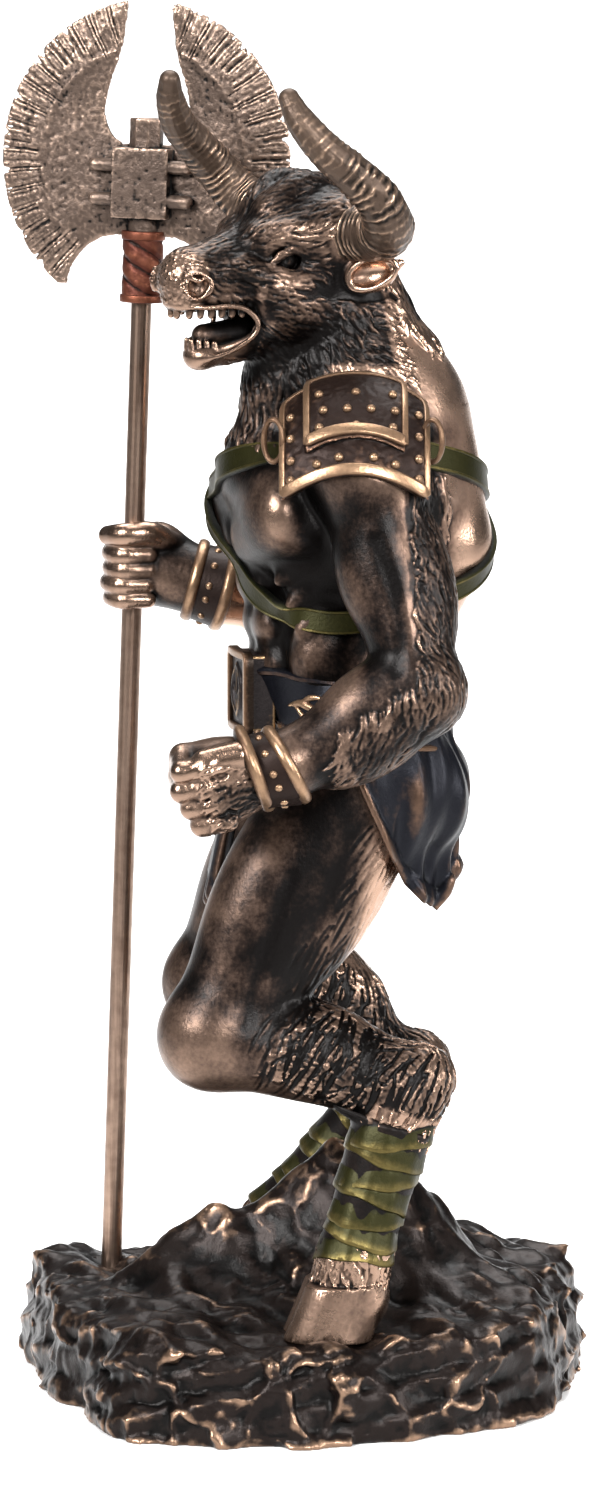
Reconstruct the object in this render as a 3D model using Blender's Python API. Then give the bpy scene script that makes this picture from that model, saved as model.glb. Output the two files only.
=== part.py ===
"""A bull-headed warrior statuette with a double-bladed axe, standing on a rocky base.

Metres, +Z up. The origin is on the flat underside of the base. The figure faces -Y and its left
side is towards +X. Run it with: blender --background --python part.py
"""

import math

import bmesh
import bpy
import numpy as np
import openvdb
from mathutils import Matrix, Vector

# Driving sizes, in metres.
FIGURE_HEIGHT = 0.2657  # hoof soles to the tip of the higher horn
HOOF_LEVEL = 0.0190  # height of the two flat pads that the hooves stand on
BASE_SCALE = 1.0  # size of the rock's outline against the one drawn below
SHAFT_RADIUS = 0.00225
SOCKET_DEPTH = 0.0060  # how far the shaft goes down into the rock
BLADE_REACH = 0.0330  # from the shaft's axis to a cutting edge
BLADE_THICKNESS = 0.0034
EDGE_THICKNESS = 0.0009
BLOCK_SIZE = (0.0127, 0.0090, 0.0153)  # the square block between the blades
LUG_RADIUS = 0.0015
LUG_REACH = 0.0105  # from the shaft's axis to the end of a lug
WRAP_RADIUS = 0.0043  # leather-bound neck of the axe head
WRAP_LENGTH = 0.0150
NECK_RISE = 0.0110  # from the top of the binding to the middle of the block
BORE_DEPTH = 0.0120  # how far the shaft goes up into the neck
CAP_RADIUS = 0.0037
CAP_HEIGHT = 0.0065

# Clearances between pieces that touch.
SEAT_GAP = 0.0003  # under the hooves, and at both ends of the shaft
BORE_GAP = 0.0003  # round the shaft, in each hole that it goes through
ROCK_GAP = 0.0014  # between the rock and a leg that it wraps round

# Fineness of the faceted solids.
FIGURE_VOXEL = 1.0
ROCK_VOXEL = 1.5
AXE_VOXEL = 0.4
FIGURE_TRIANGLES = 6900
ROCK_TRIANGLES = 1350
AXE_TRIANGLES = 900

# The figure is drawn in units, with its soles at GROUND and its higher horn at HORN_TOP.
GROUND = 19.3
HORN_TOP = 285.0
UNIT = FIGURE_HEIGHT / (HORN_TOP - GROUND)

# The shaft's axis, in the figure's units, because a fist closes round it.
SHAFT_FOOT = Vector((-36.5, -43.2, 19.2))
SHAFT_AXIS = Vector((0.0, 8.0, 228.6)).normalized()
SHAFT_RISE = 215.4  # from the rock to the lower end of the axe head's neck
AXE_YAW = 17.0  # degrees: the blades turn this much from the figure's side plane

# Colour, roughness and metallic share of each material.
FINISHES = {
    "cold_cast_bronze": ((0.21, 0.135, 0.095, 1.0), 0.38, 0.85),
    "dark_rock": ((0.045, 0.030, 0.025, 1.0), 0.5, 0.45),
    "bronze_rod": ((0.22, 0.14, 0.10, 1.0), 0.35, 0.9),
    "axe_bronze": ((0.12, 0.085, 0.07, 1.0), 0.42, 0.85),
}

# The skeleton, in units: X is the figure's left, -Y its front, Z up.
HIPS = (0.5, 9.5, 139)
NECK = (1, 14, 214)
SHOULDER = {"left": (26, 12.5, 206), "right": (-26, 3.5, 205)}
ELBOW = {"left": (38, 23.6, 159), "right": (-39, 15, 162.5)}
WRIST = {"left": (42, -4, 144), "right": (-36, -18, 171.5)}
FIST = {"left": (42, -18, 140.5), "right": (-37.5, -36, 176.2)}
HIP = {"left": (14, 11, 138), "right": (-14, 8.5, 138)}
KNEE = {"left": (22, -18.8, 83.5), "right": (-25, -18.8, 86)}
HOCK = {"left": (24, 22.5, 73), "right": (-29, 22.8, 65.5)}
FETLOCK = {"left": (27, 10.5, 37), "right": (-33, -3.5, 33)}
HOOF = {"left": (27, 5.8, GROUND), "right": (-34, -9.5, GROUND)}
SIDES = {"left": 1, "right": -1}


def unit_vector(v):
    v = np.array(v, float)
    return v / np.linalg.norm(v)


def world(point):
    """A point of the figure, in units, as metres in the part's frame."""
    x, y, z = point
    return Vector((x * UNIT, y * UNIT, (z - GROUND) * UNIT + HOOF_LEVEL + SEAT_GAP))


class Frame:
    """A local frame: forward, left and up, turned by yaw, pitch and roll in degrees."""

    def __init__(self, origin, yaw=0.0, pitch=0.0, roll=0.0):
        self.origin = np.array(origin, float)
        turn = (
            Matrix.Rotation(math.radians(yaw), 3, "Z")
            @ Matrix.Rotation(math.radians(-pitch), 3, "X")
            @ Matrix.Rotation(math.radians(roll), 3, "Y")
        )
        self.axes = np.array(turn @ Matrix(((0, 1, 0), (-1, 0, 0), (0, 0, 1))))

    def at(self, forward, left, up):
        return self.origin + self.axes @ np.array((forward, left, up), float)

    def way(self, forward, left, up):
        return self.axes @ np.array((forward, left, up), float)


TORSO = Frame((1, 9, 190), yaw=14)
HEAD = Frame((2.5, 2.0, 247), yaw=32, roll=3)


def smooth_path(points, steps):
    """Rows read from a smooth curve through the given rows of numbers."""
    rows = np.array(points, float)
    ends = np.vstack([2 * rows[0] - rows[1], rows, 2 * rows[-1] - rows[-2]])
    path = []
    for p0, p1, p2, p3 in zip(ends, ends[1:], ends[2:], ends[3:]):
        for s in np.arange(steps) / steps:
            bend = (2 * p0 - 5 * p1 + 4 * p2 - p3) * s**2
            swing = (3 * p1 - p0 - 3 * p2 + p3) * s**3
            path.append(0.5 * (2 * p1 + (p2 - p0) * s + bend + swing))
    path.append(rows[-1])
    return np.array(path)


class Clay:
    """A block of modelling clay: a distance field on a grid, built up and cut by soft shapes."""

    FAR = 12.0

    def __init__(self, low, high, voxel):
        self.low = np.array(low, float)
        self.voxel = voxel
        counts = np.ceil((np.array(high) - self.low) / voxel).astype(int) + 1
        self.ticks = [(self.low[i] + voxel * np.arange(counts[i])).astype(np.float32) for i in range(3)]
        self.field = np.full(counts, self.FAR, np.float32)

    def window(self, low, high):
        """The slices of the grid inside a box, and the X, Y and Z of its points."""
        cut, axes = [], []
        for i in range(3):
            first = np.searchsorted(self.ticks[i], low[i])
            last = np.searchsorted(self.ticks[i], high[i])
            cut.append(slice(first, max(last, first + 1)))
            shape = [1, 1, 1]
            shape[i] = -1
            axes.append(self.ticks[i][cut[i]].reshape(shape))
        return tuple(cut), axes

    def whole(self):
        return self.window([t[0] for t in self.ticks], [t[-1] + 1 for t in self.ticks])

    def merge(self, cut, shape, blend, carve=False):
        """Adds a shape to the clay, or takes it away, with a fillet of about that size."""
        here = self.field[cut]
        if carve:
            mix = np.maximum(blend - np.abs(here + shape), 0) / blend
            self.field[cut] = np.maximum(here, -shape) + mix * mix * blend / 4
        else:
            mix = np.maximum(blend - np.abs(here - shape), 0) / blend
            self.field[cut] = np.minimum(here, shape) - mix * mix * blend / 4

    def ball(self, centre, radii, along=(1, 0, 0), across=(0, 0, 1), blend=2.0, carve=False):
        """An ellipsoid: its radii along `along`, along `across`, and along the third axis."""
        a = unit_vector(along)
        c = np.array(across, float)
        c = unit_vector(c - a * (a @ c))
        b = np.cross(c, a)
        reach = max(radii) + blend + 3 * self.voxel
        centre = np.array(centre, float)
        cut, (x, y, z) = self.window(centre - reach, centre + reach)
        x, y, z = x - centre[0], y - centre[1], z - centre[2]
        first = second = 0
        for axis, radius in zip((a, c, b), radii):
            local = (x * axis[0] + y * axis[1] + z * axis[2]) / radius
            first = first + local**2
            second = second + (local / radius) ** 2
        first, second = np.sqrt(first), np.sqrt(second) + 1e-6
        self.merge(cut, first * (first - 1) / second, blend, carve)

    def limb(self, start, end, r_start, r_end, blend=2.0, flat=None, carve=False):
        """A tapered round limb. flat is (direction, share) and squeezes it that way."""
        a, b = np.array(start, float), np.array(end, float)
        reach = max(r_start, r_end) + blend + 3 * self.voxel
        cut, (x, y, z) = self.window(np.minimum(a, b) - reach, np.maximum(a, b) + reach)
        way = b - a
        px, py, pz = x - a[0], y - a[1], z - a[2]
        share = np.clip((px * way[0] + py * way[1] + pz * way[2]) / (way @ way), 0, 1)
        qx, qy, qz = px - share * way[0], py - share * way[1], pz - share * way[2]
        squared = qx**2 + qy**2 + qz**2
        if flat is not None:
            axis, squeeze = unit_vector(flat[0]), flat[1]
            off = qx * axis[0] + qy * axis[1] + qz * axis[2]
            squared = squared + off**2 * (1 / squeeze**2 - 1)
        self.merge(cut, np.sqrt(squared) - (r_start + (r_end - r_start) * share), blend, carve)

    def tube(self, points, blend=1.0, steps=5, carve=False):
        """A round tube through (x, y, z, radius) rows, on a smooth curve."""
        path = smooth_path(points, steps)
        reach = path[:, 3].max() + blend + 3 * self.voxel
        low, high = path[:, :3].min(0) - reach, path[:, :3].max(0) + reach
        cut, (x, y, z) = self.window(low, high)
        shape = np.full(self.field[cut].shape, self.FAR, np.float32)
        for p, q in zip(path[:-1], path[1:]):
            way = q[:3] - p[:3]
            px, py, pz = x - p[0], y - p[1], z - p[2]
            share = np.clip((px * way[0] + py * way[1] + pz * way[2]) / (way @ way), 0, 1)
            qx, qy, qz = px - share * way[0], py - share * way[1], pz - share * way[2]
            gap = np.sqrt(qx**2 + qy**2 + qz**2) - (p[3] + (q[3] - p[3]) * share)
            shape = np.minimum(shape, gap)
        self.merge(cut, shape, blend, carve)

    def shape(self, low, high, distance, blend=0.5, carve=False):
        """Any solid given by a function of x, y and z that is negative inside it."""
        cut, axes = self.window(np.array(low, float), np.array(high, float))
        value = np.broadcast_to(distance(*axes), self.field[cut].shape)
        self.merge(cut, value.astype(np.float32), blend, carve)

    def raise_band(self, low, high, limit, lift, blend=0.4):
        """Raises the clay's own surface by `lift` wherever `limit` is negative."""
        cut, axes = self.window(np.array(low, float), np.array(high, float))
        raised = np.maximum(self.field[cut] - lift, limit(*axes))
        self.merge(cut, raised.astype(np.float32), blend)

    def read(self, points):
        """The field and its slope at each point."""
        spot = (np.array(points, float) - self.low) / self.voxel
        spot = np.clip(spot, 1, np.array(self.field.shape) - 3)
        base = spot.astype(int)
        f = spot - base
        x, y, z = base.T
        value, slope = 0, np.zeros((len(spot), 3))
        for i in (0, 1):
            for j in (0, 1):
                for k in (0, 1):
                    part = self.field[x + i, y + j, z + k]
                    wx = f[:, 0] if i else 1 - f[:, 0]
                    wy = f[:, 1] if j else 1 - f[:, 1]
                    wz = f[:, 2] if k else 1 - f[:, 2]
                    value = value + part * wx * wy * wz
                    slope[:, 0] += (2 * i - 1) * part * wy * wz
                    slope[:, 1] += (2 * j - 1) * part * wx * wz
                    slope[:, 2] += (2 * k - 1) * part * wx * wy
        slope /= np.linalg.norm(slope, axis=1, keepdims=True) + 1e-9
        return value, slope

    def settle(self, points, height=0.0):
        """Moves points to that height over the clay's surface."""
        points = np.array(points, float)
        for _ in range(8):
            value, slope = self.read(points)
            points = points - slope * np.clip(value - height, -4, 4)[:, None]
        return points

    def mesh(self, name):
        """The surface of the largest closed piece, as a mesh in units."""
        grid = openvdb.FloatGrid()
        grid.background = self.FAR
        grid.copyFromArray(np.ascontiguousarray(self.field))
        points, quads = grid.convertToQuads(0.0)
        points = self.low + np.array(points, float) * self.voxel
        quads = np.array(quads)
        label = np.arange(len(points))
        while True:
            least = label[quads].min(axis=1)
            lower = label.copy()
            for corner in range(4):
                np.minimum.at(lower, quads[:, corner], least)
            lower = lower[lower]
            if (lower == label).all():
                break
            label = lower
        names, counts = np.unique(label, return_counts=True)
        keep = label == names[counts.argmax()]
        index = np.cumsum(keep) - 1
        mesh = bpy.data.meshes.new(name)
        mesh.from_pydata(points[keep].tolist(), [], index[quads[keep[quads[:, 0]]]].tolist())
        return mesh


def model_torso(clay):
    t = TORSO.at
    side, front, up = TORSO.way(0, 1, 0), TORSO.way(1, 0, 0), (0, 0, 1)
    clay.ball(t(2, 0, 0), (24, 21.5, 24), up, front, blend=4)
    clay.ball(t(-9, 0, 9), (20, 18, 25), up, front, blend=8)
    clay.ball(t(4.5, 0, -27), (20, 15.5, 16), up, front, blend=8)
    clay.ball(HIPS, (19, 17.5, 16), side, (0, 1, 0), blend=8)
    for s in (-1, 1):
        clay.ball(t(19.2, 11.0 * s, 3.5), (13.5, 7.2, 10.0), TORSO.way(0, 1, 0.2 * s), front, blend=4)
        clay.limb(t(20.6, 4 * s, -2.5), t(16.5, 19 * s, -1.5), 4.6, 4.6, blend=3.5)
        clay.ball(t(-7, 16 * s, -4), (24, 11, 8), TORSO.way(0, 0.15 * s, 1), front, blend=7)
        clay.limb(t(-8, 3 * s, 22), t(0, 21 * s, 17), 8, 6.5, blend=5)
        clay.ball(t(-19.5, 10 * s, 6), (15, 7, 9), up, front, blend=4)
        clay.limb(t(-18.5, 12 * s, -4), t(-8, 5 * s, -33), 9.5, 6.0, blend=6)
        clay.limb(t(-19, 3 * s, 8), t(-9, 2 * s, -33), 7.5, 6.5, blend=4)
        clay.ball(t(6, 14 * s, -27), (12, 10, 6), up, front, blend=3)
        for lift, lean in ((-12, 20.5), (-20.5, 19), (-29, 17.6)):
            clay.ball(t(lean, 4.6 * s, lift), (4.6, 4, 3), side, up, blend=1.2)
        for rib in range(4):
            spot = t(14.5 - 2.2 * rib, (16 + 0.6 * rib) * s, -7 - 5.2 * rib)
            clay.ball(spot, (5.5, 2.2, 3), TORSO.way(1, 0, -0.6), up, blend=1.2)
        clay.ball((HIPS[0] + 10.5 * s, HIPS[1] + 11, HIPS[2] - 6), (12, 10.5, 12), blend=3)
    clay.limb(t(-25, 0, 12), t(-14, 0, -30), 1.6, 1.4, blend=3, carve=True)
    clay.limb(t(27, 0, 6), t(23, 0, -32), 0.9, 0.9, blend=2, carve=True)


def model_neck(clay):
    clay.limb(HEAD.at(-2, 0, -2), NECK, 13, 17, blend=5)
    clay.limb(NECK, TORSO.at(-4, 0, 10), 17.5, 20, blend=7)
    clay.limb(HEAD.at(7, 0, -12), TORSO.at(14, 0, 14), 7.5, 9.5, blend=6)
    clay.ball(TORSO.at(18, 0, 12), (9, 9, 12), (0, 0, 1), TORSO.way(1, 0, 0), blend=5)
    clay.ball(TORSO.at(-11, 0, 21), (16, 14, 17), (0, 0, 1), TORSO.way(1, 0, 0), blend=6)


def model_head(clay):
    """Brow, muzzle and nose first, then the open mouth, then what stands in and on them."""
    h, w = HEAD.at, HEAD.way
    ahead, left, up = w(1, 0, 0), w(0, 1, 0), w(0, 0, 1)
    clay.ball(h(2, 0, 3.2), (14.5, 12.2, 13), ahead, up, blend=4)
    clay.ball(h(7, 0, 9.5), (9.5, 5.6, 8.5), ahead, up, blend=3)
    clay.limb(h(13, 0, -1.2), h(30.5, 0, -4.0), 9.6, 6.2, blend=4, flat=(left, 0.92))
    clay.ball(h(32.5, 0, -3.8), (4.8, 6.0, 6.8), ahead, up, blend=2)
    clay.limb(h(18, 0, -7.6), h(32, 0, -8.3), 7.2, 4.6, blend=1.5, flat=(up, 0.5))
    clay.limb(h(4, 0, -11), h(27.3, 0, -20.2), 9.5, 3.6, blend=3, flat=(w(0.35, 0, 1), 0.8))
    clay.ball(h(27.4, 0, -19.8), (3.4, 2.6, 4.6), w(1, 0, -0.1), up, blend=1.5)
    clay.ball(h(30.5, 0, -14.3), (11.4, 4.0, 14), w(1, 0, -0.06), up, blend=0.8, carve=True)
    clay.ball(h(20, 0, -14.6), (8.5, 3.2, 5), w(1, 0, -0.2), up, blend=1.2, carve=True)
    clay.limb(h(16, 0, -17.3), h(26.5, 0, -17.6), 3.4, 2.4, blend=0.8, flat=(up, 0.6))
    for s in (-1, 1):
        clay.ball(h(9, 8.4 * s, -7), (10.5, 8.5, 4.6), w(1, 0, -0.4), up, blend=3)
        clay.limb(h(17.5, 6.2 * s, 6.2), h(9, 10.2 * s, 6.8), 3.0, 3.2, blend=1.8)
        clay.ball(h(13.2, 9.6 * s, 0.6), (3.9, 3.0, 2.6), ahead, up, blend=1, carve=True)
        clay.ball(h(12.6, 8.6 * s, 0.6), (2.5, 2.4, 2.4), ahead, up, blend=0.3)
        clay.limb(h(15.6, 9 * s, -1.6), h(10, 11 * s, -1.4), 0.9, 0.9, blend=0.8)
        clay.limb(h(22, 6.8 * s, -0.6), h(14, 9.5 * s, -5), 1.8, 2.6, blend=2)
        clay.ball(h(32.3, 5.4 * s, -4.2), (3.9, 3.7, 2.6), w(1, 0.35 * s, 0), up, blend=1)
        clay.ball(h(33.6, 7.3 * s, -4.4), (2.7, 2.1, 1.9), w(1, 0.4 * s, 0), up, blend=0.5, carve=True)
        clay.limb(h(31.5, 6.1 * s, -8.9), h(20.5, 8.0 * s, -9.6), 1.1, 1.1, blend=0.8)
        clay.limb(h(20.5, 8.0 * s, -9.6), h(19.0, 8.6 * s, -13.6), 1.1, 1.0, blend=0.6)
        clay.limb(h(19.0, 8.6 * s, -13.6), h(29.0, 4.2 * s, -19.0), 1.0, 0.9, blend=0.6)
        for tooth in range(5):
            spot = h(33 - 2.7 * tooth, (2.6 + 1.15 * tooth) * s, -9.6)
            clay.limb(spot, spot + w(0, 0, -1.7), 1.1, 0.8, blend=0.4)
        for tooth in range(2):
            spot = h(30.2 - 1.0 * tooth, (1.1 + 1.9 * tooth) * s, -18.6)
            clay.limb(spot, spot + w(0.2, 0, 1.6), 1.0, 0.8, blend=0.4)
        clay.tube([(*h(1, 3 * s, 16), 2.6), (*h(8, 4 * s, 16), 2.8), (*h(13.5, 3.4 * s, 11), 1.8)])
        model_ear(clay, s)
        clay.tube(horn_path(s), blend=1.2, steps=6)


def model_ear(clay, s):
    h, w = HEAD.at, HEAD.way
    root, middle, tip = h(-1, 10.5 * s, -2.6), h(-2.4, 17.5 * s, -2.0), h(-3.4, 24 * s, 0.6)
    flat = (w(1, 0.2 * s, 0.1), 0.6)
    clay.limb(root, middle, 2.8, 4.4, blend=2, flat=flat)
    clay.limb(middle, tip, 4.4, 1.3, blend=1, flat=flat)
    clay.limb(h(0.6, 15.0 * s, -2.4), h(-0.8, 20.5 * s, -0.9), 2.7, 1.6, blend=0.8, carve=True)


def horn_path(s):
    """A horn leaves the side of the head, swings out and back, then up and in to a blunt tip."""
    shape = (
        (0, 9, 6.6, 6.6),
        (-1.5, 16, 6.4, 6.3),
        (-1.5, 24, 7.4, 5.9),
        (1.0, 29.6, 10.2, 5.4),
        (5.5, 31.9, 15.6, 4.8),
        (11.2, 30.8, 20.8, 4.3),
        (16.6, 29.0, 25.4, 3.8),
        (20.6, 26.2, 30.8, 3.2),
        (22.4, 23.9, 35.6, 2.3),
    )
    return [(*HEAD.at(f, l * s, u), r) for f, l, u, r in shape]


def model_arm(clay, side):
    shoulder, elbow = np.array(SHOULDER[side]), np.array(ELBOW[side])
    wrist, fist = np.array(WRIST[side]), np.array(FIST[side])
    out = TORSO.way(0, SIDES[side], 0)
    upper, fore = elbow - shoulder, wrist - elbow
    back = unit_vector(unit_vector(upper) - unit_vector(fore))
    clay.ball(shoulder + out * 1.0 + (0, 0, 1), (14.5, 12.5, 12.5), upper, out, blend=4)
    clay.limb(shoulder, elbow, 10.8, 8.0, blend=4)
    clay.ball(shoulder + upper * 0.52 - back * 4.4, (15, 8, 8), upper, out, blend=2)
    clay.ball(shoulder + upper * 0.48 + back * 5.0, (18, 7.8, 8.2), upper, out, blend=2)
    clay.ball(elbow + back * 1.0, (6.8, 7.6, 7), upper, out, blend=3)
    clay.limb(elbow, wrist, 9.2, 6.8, blend=3)
    clay.ball(elbow + fore * 0.3 + (0, 0, 2.8), (15, 8.4, 7.4), fore, (0, 0, 1), blend=2.5)
    clay.ball(elbow + fore * 0.38 - (0, 0, 4.4), (15, 7.4, 6.6), fore, (0, 0, 1), blend=2.5)
    clay.limb(wrist, fist - fore * 0.12, 6.6, 7, blend=3)


def model_left_fist(clay):
    """Clenched at the waist: knuckles forward, the thumb across the inner side."""
    centre = np.array(FIST["left"])
    ahead = unit_vector(centre - np.array(WRIST["left"]))
    up = np.array((0.25, 0, 1.0))
    up = unit_vector(up - ahead * (ahead @ up))
    inward = np.cross(up, ahead)
    clay.ball(centre - ahead * 1.5, (9.4, 9.2, 7.4), ahead, up, blend=3)
    for finger in range(4):
        rise = up * (6.8 - 4.4 * finger)
        knuckle = centre + rise + ahead * (7.2 - 1.0 * abs(finger - 1)) - inward * 2.4
        bend = knuckle + inward * 7.6 + ahead * 0.6
        clay.limb(centre + rise * 0.9 - inward * 4.5, knuckle, 2.8, 2.8, blend=1.4)
        clay.limb(knuckle, bend, 2.7, 2.3, blend=0.7)
        clay.limb(bend, bend - ahead * 5.5 + inward * 0.8, 2.3, 2.0, blend=0.7)
    thumb = centre + up * 6.4 + inward * 4.5 - ahead * 3
    clay.limb(thumb - ahead * 3, thumb + ahead * 4.5 + up * 0.5, 3.2, 2.7, blend=1.2)
    clay.limb(thumb + ahead * 4.5, thumb + ahead * 7 - up * 4.5 + inward, 2.6, 2.2, blend=0.8)


def model_right_fist(clay):
    """Closed round the upright shaft: the fingers lie across its near side, the thumb above."""
    axis, foot = np.array(SHAFT_AXIS), np.array(SHAFT_FOOT)
    grip = foot + axis * ((FIST["right"][2] - foot[2]) / axis[2])
    clay.ball(grip + (-3.5, 5.0, 1.0), (8.8, 7.6, 6.4), axis, (0, 1, 0), blend=3)
    clay.limb(grip + (-2.5, 6, 0), WRIST["right"], 7.2, 6.8, blend=3)
    bends = ((-5.4, 1.5), (-4.2, -3.9), (0.6, -5.1), (4.6, -2.2), (4.6, 3.4))
    for finger, radius in enumerate((2.1, 2.1, 2.0, 1.8)):
        level = grip + axis * (3.2 - 3.3 * finger)
        clay.tube([(*(level + (x, y, 0)), radius) for x, y in bends], blend=0.5, steps=3)
    thumb = ((0, 8, 4.5, 3.4), (4.0, 3.6, 7.6, 3.0), (5.2, -2.0, 7.7, 2.7), (1.8, -5.6, 7.3, 2.2))
    clay.tube([(*(grip + axis * up + (x, y, 0)), r) for x, y, up, r in thumb], blend=1.0)


def model_leg(clay, side):
    s = SIDES[side]
    hip, knee = np.array(HIP[side]), np.array(KNEE[side])
    hock, fetlock = np.array(HOCK[side]), np.array(FETLOCK[side])
    thigh, shank = knee - hip, hock - knee
    out = np.array((s, 0, 0.0))
    front = unit_vector(np.cross(thigh, out) * s)
    front = front if front[1] < 0 else -front
    clay.limb(hip, knee, 17, 11.4, blend=6, flat=(out, 0.84))
    clay.ball(hip + thigh * 0.44 + front * 5.0 + out * 2, (27, 11, 10), thigh, front, blend=3)
    clay.ball(hip + thigh * 0.66 + front * 4.0 - out * 4, (16, 8.5, 7), thigh, front, blend=3)
    clay.ball(hip + thigh * 0.36 - front * 8.5 + out * 1, (25, 9.5, 9), thigh, front, blend=3.5)
    clay.limb(hip + thigh * 0.45 - front * 9, knee + shank * 0.16 + out * 3, 6, 3.6, blend=2)
    clay.ball(knee + front * 1.2 - (0, 0, 0.6), (11.4, 10.6, 9.4), thigh, front, blend=3)
    clay.limb(knee, hock - (0, 1, 0), 10.6, 8.2, blend=4)
    clay.ball(knee + shank * 0.48 + (0, 0, 3.6), (16, 8.6, 8.4), shank, (0, 0, 1), blend=3)
    if side == "right":
        clay.ball(knee + shank * 0.66 + (0, -1, 10), (17, 9.5, 9), (0, 0.55, -0.83), out, blend=3)
    clay.limb(hock - (0, 1.5, 0), hock + (0, 2.5, 1.5), 8.4, 6.6, blend=3)
    clay.limb(hock - (0, 2.5, 4), fetlock, 8.8, 7.0, blend=3, flat=(out, 0.92))
    clay.limb(fetlock, np.array(HOOF[side]) + (0, 3.4, 11), 7.4, 7.8, blend=2.5)


def model_hoof(clay, side):
    """A cloven hoof: two tapered claws side by side, flat below."""
    x, y, sole = HOOF[side]
    low, high = np.array((x, y, sole)) - (16, 18, 5), np.array((x, y, sole)) + (16, 18, 15)

    def claws(gx, gy, gz):
        height = (gz - sole) / 12.0
        grow = 1.1 - 0.2 * height
        long = (gy - (y - 1.0 + 3.2 * height)) / (8.7 * grow)
        pair = np.minimum(np.abs(gx - x - 4.3), np.abs(gx - x + 4.3)) / (5.2 * grow)
        round_wall = (np.sqrt(long**2 + pair**2) - 1) * 5.2 * grow
        return np.maximum(round_wall, np.maximum(gz - sole - 12, sole - gz))

    clay.shape(low, high, claws, 0.6)
    clay.ball((x, y + 7.5, sole + 8), (5.5, 4.5, 6.5), (0, 0, 1), (0, 1, 0), blend=2.5)
    clay.limb((x, y - 12, sole - 2), (x, y - 8, sole + 12), 1.1, 0.7, blend=0.8, carve=True)
    clay.shape(low, high, lambda gx, gy, gz: gz - sole + 0 * gx + 0 * gy, 0.01, carve=True)


def slab(point, normal, half_width):
    """The distance from a slab of that half width about a plane."""
    n = unit_vector(normal)

    def distance(x, y, z):
        return np.abs((x - point[0]) * n[0] + (y - point[1]) * n[1] + (z - point[2]) * n[2]) - half_width

    return distance


def sleeve(start, end, first, last, radius):
    """The distance from a stretch of a thick rod, from first to last along it."""
    a, way = np.array(start, float), unit_vector(np.array(end, float) - np.array(start, float))

    def distance(x, y, z):
        px, py, pz = x - a[0], y - a[1], z - a[2]
        along = px * way[0] + py * way[1] + pz * way[2]
        squared = np.maximum(px**2 + py**2 + pz**2 - along**2, 0)
        return np.maximum(np.maximum(first - along, along - last), np.sqrt(squared) - radius)

    return distance


def oval(centre, radii):
    """The distance from an upright ellipsoid, nearly."""

    def distance(x, y, z):
        parts = [(g - c) / r for g, c, r in zip((x, y, z), centre, radii)]
        first = np.sqrt(sum(p**2 for p in parts))
        second = np.sqrt(sum((p / r) ** 2 for p, r in zip(parts, radii))) + 1e-6
        return first * (first - 1) / second

    return distance


def model_harness(clay):
    """Two straps round the chest: one hangs from the shoulder guard, one runs to the left hip."""
    low, high = (-44, -40, 150), (44, 58, 232)
    for centre, normal in (((0, 0, 199), (-0.38, 0.04, 1)), ((0, 0, 188), (0.766, -0.08, 1))):
        clay.raise_band(low, high, slab(centre, normal, 3.1), 1.1)


def model_belt(clay):
    low, high = (-36, -30, 132), (36, 48, 172)
    clay.raise_band(low, high, slab((0, 0, 153), (0, 0.2, 1), 6.2), 1.6)
    clay.limb(TORSO.at(21.5, -5.5, -34), TORSO.at(21.5, 5.5, -34), 8.2, 8.2, 0.5, (TORSO.way(1, 0, 0), 0.32))


def skirt_hem(y):
    """The height of the hem at each place from the side of the hip to the back."""
    return np.interp(y, (6, 9, 19, 26.0, 30.5, 40), (150, 138, 115.5, 108.5, 113.5, 112))


def model_skirt(clay):
    """A cloth from the belt over the buttocks, in folds, and a flap in front."""

    def cloth(x, y, z):
        drop = np.clip((150 - z) / 40, 0, 1)
        angle = np.arctan2(x, y - 9)
        fold = 0.7 * np.sin(9 * angle + 2.5 * drop) * drop
        rx, ry = 19.5 + 8 * drop + fold, 20.5 + 1.2 * np.sin(3 * drop) + fold
        round_wall = (np.sqrt((x / rx) ** 2 + ((y - 9) / ry) ** 2) - 1) * 20
        sheet = np.abs(round_wall) - 1.5
        return np.maximum(sheet, np.maximum(skirt_hem(y) - z, z - 150))

    clay.shape((-38, 0, 104), (38, 42, 152), cloth, 1.0)
    clay.limb((0, -12.0, 148), (1, -18.8, 115), 7.5, 8.0, 1.0, ((0, 1, 0.15), 0.24))
    clay.limb((4, -12.5, 146), (7, -19.6, 111), 1.6, 2.2, 1.5)
    clay.limb((-4, -12.5, 146), (-5, -19.6, 111), 1.6, 2.2, 1.5)


def plate_side(front, back, foot, arch):
    """How far a point is outside a shoulder plate's edges: front, back, lower and inner."""

    def distance(x, y, z):
        middle = (front + back) / 2
        bottom = foot - arch * (y - middle) ** 2 - z
        edge = np.maximum(np.maximum(front - y, y - back), bottom)
        return np.maximum(edge, 19.5 - x + 0 * z)

    return distance


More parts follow.
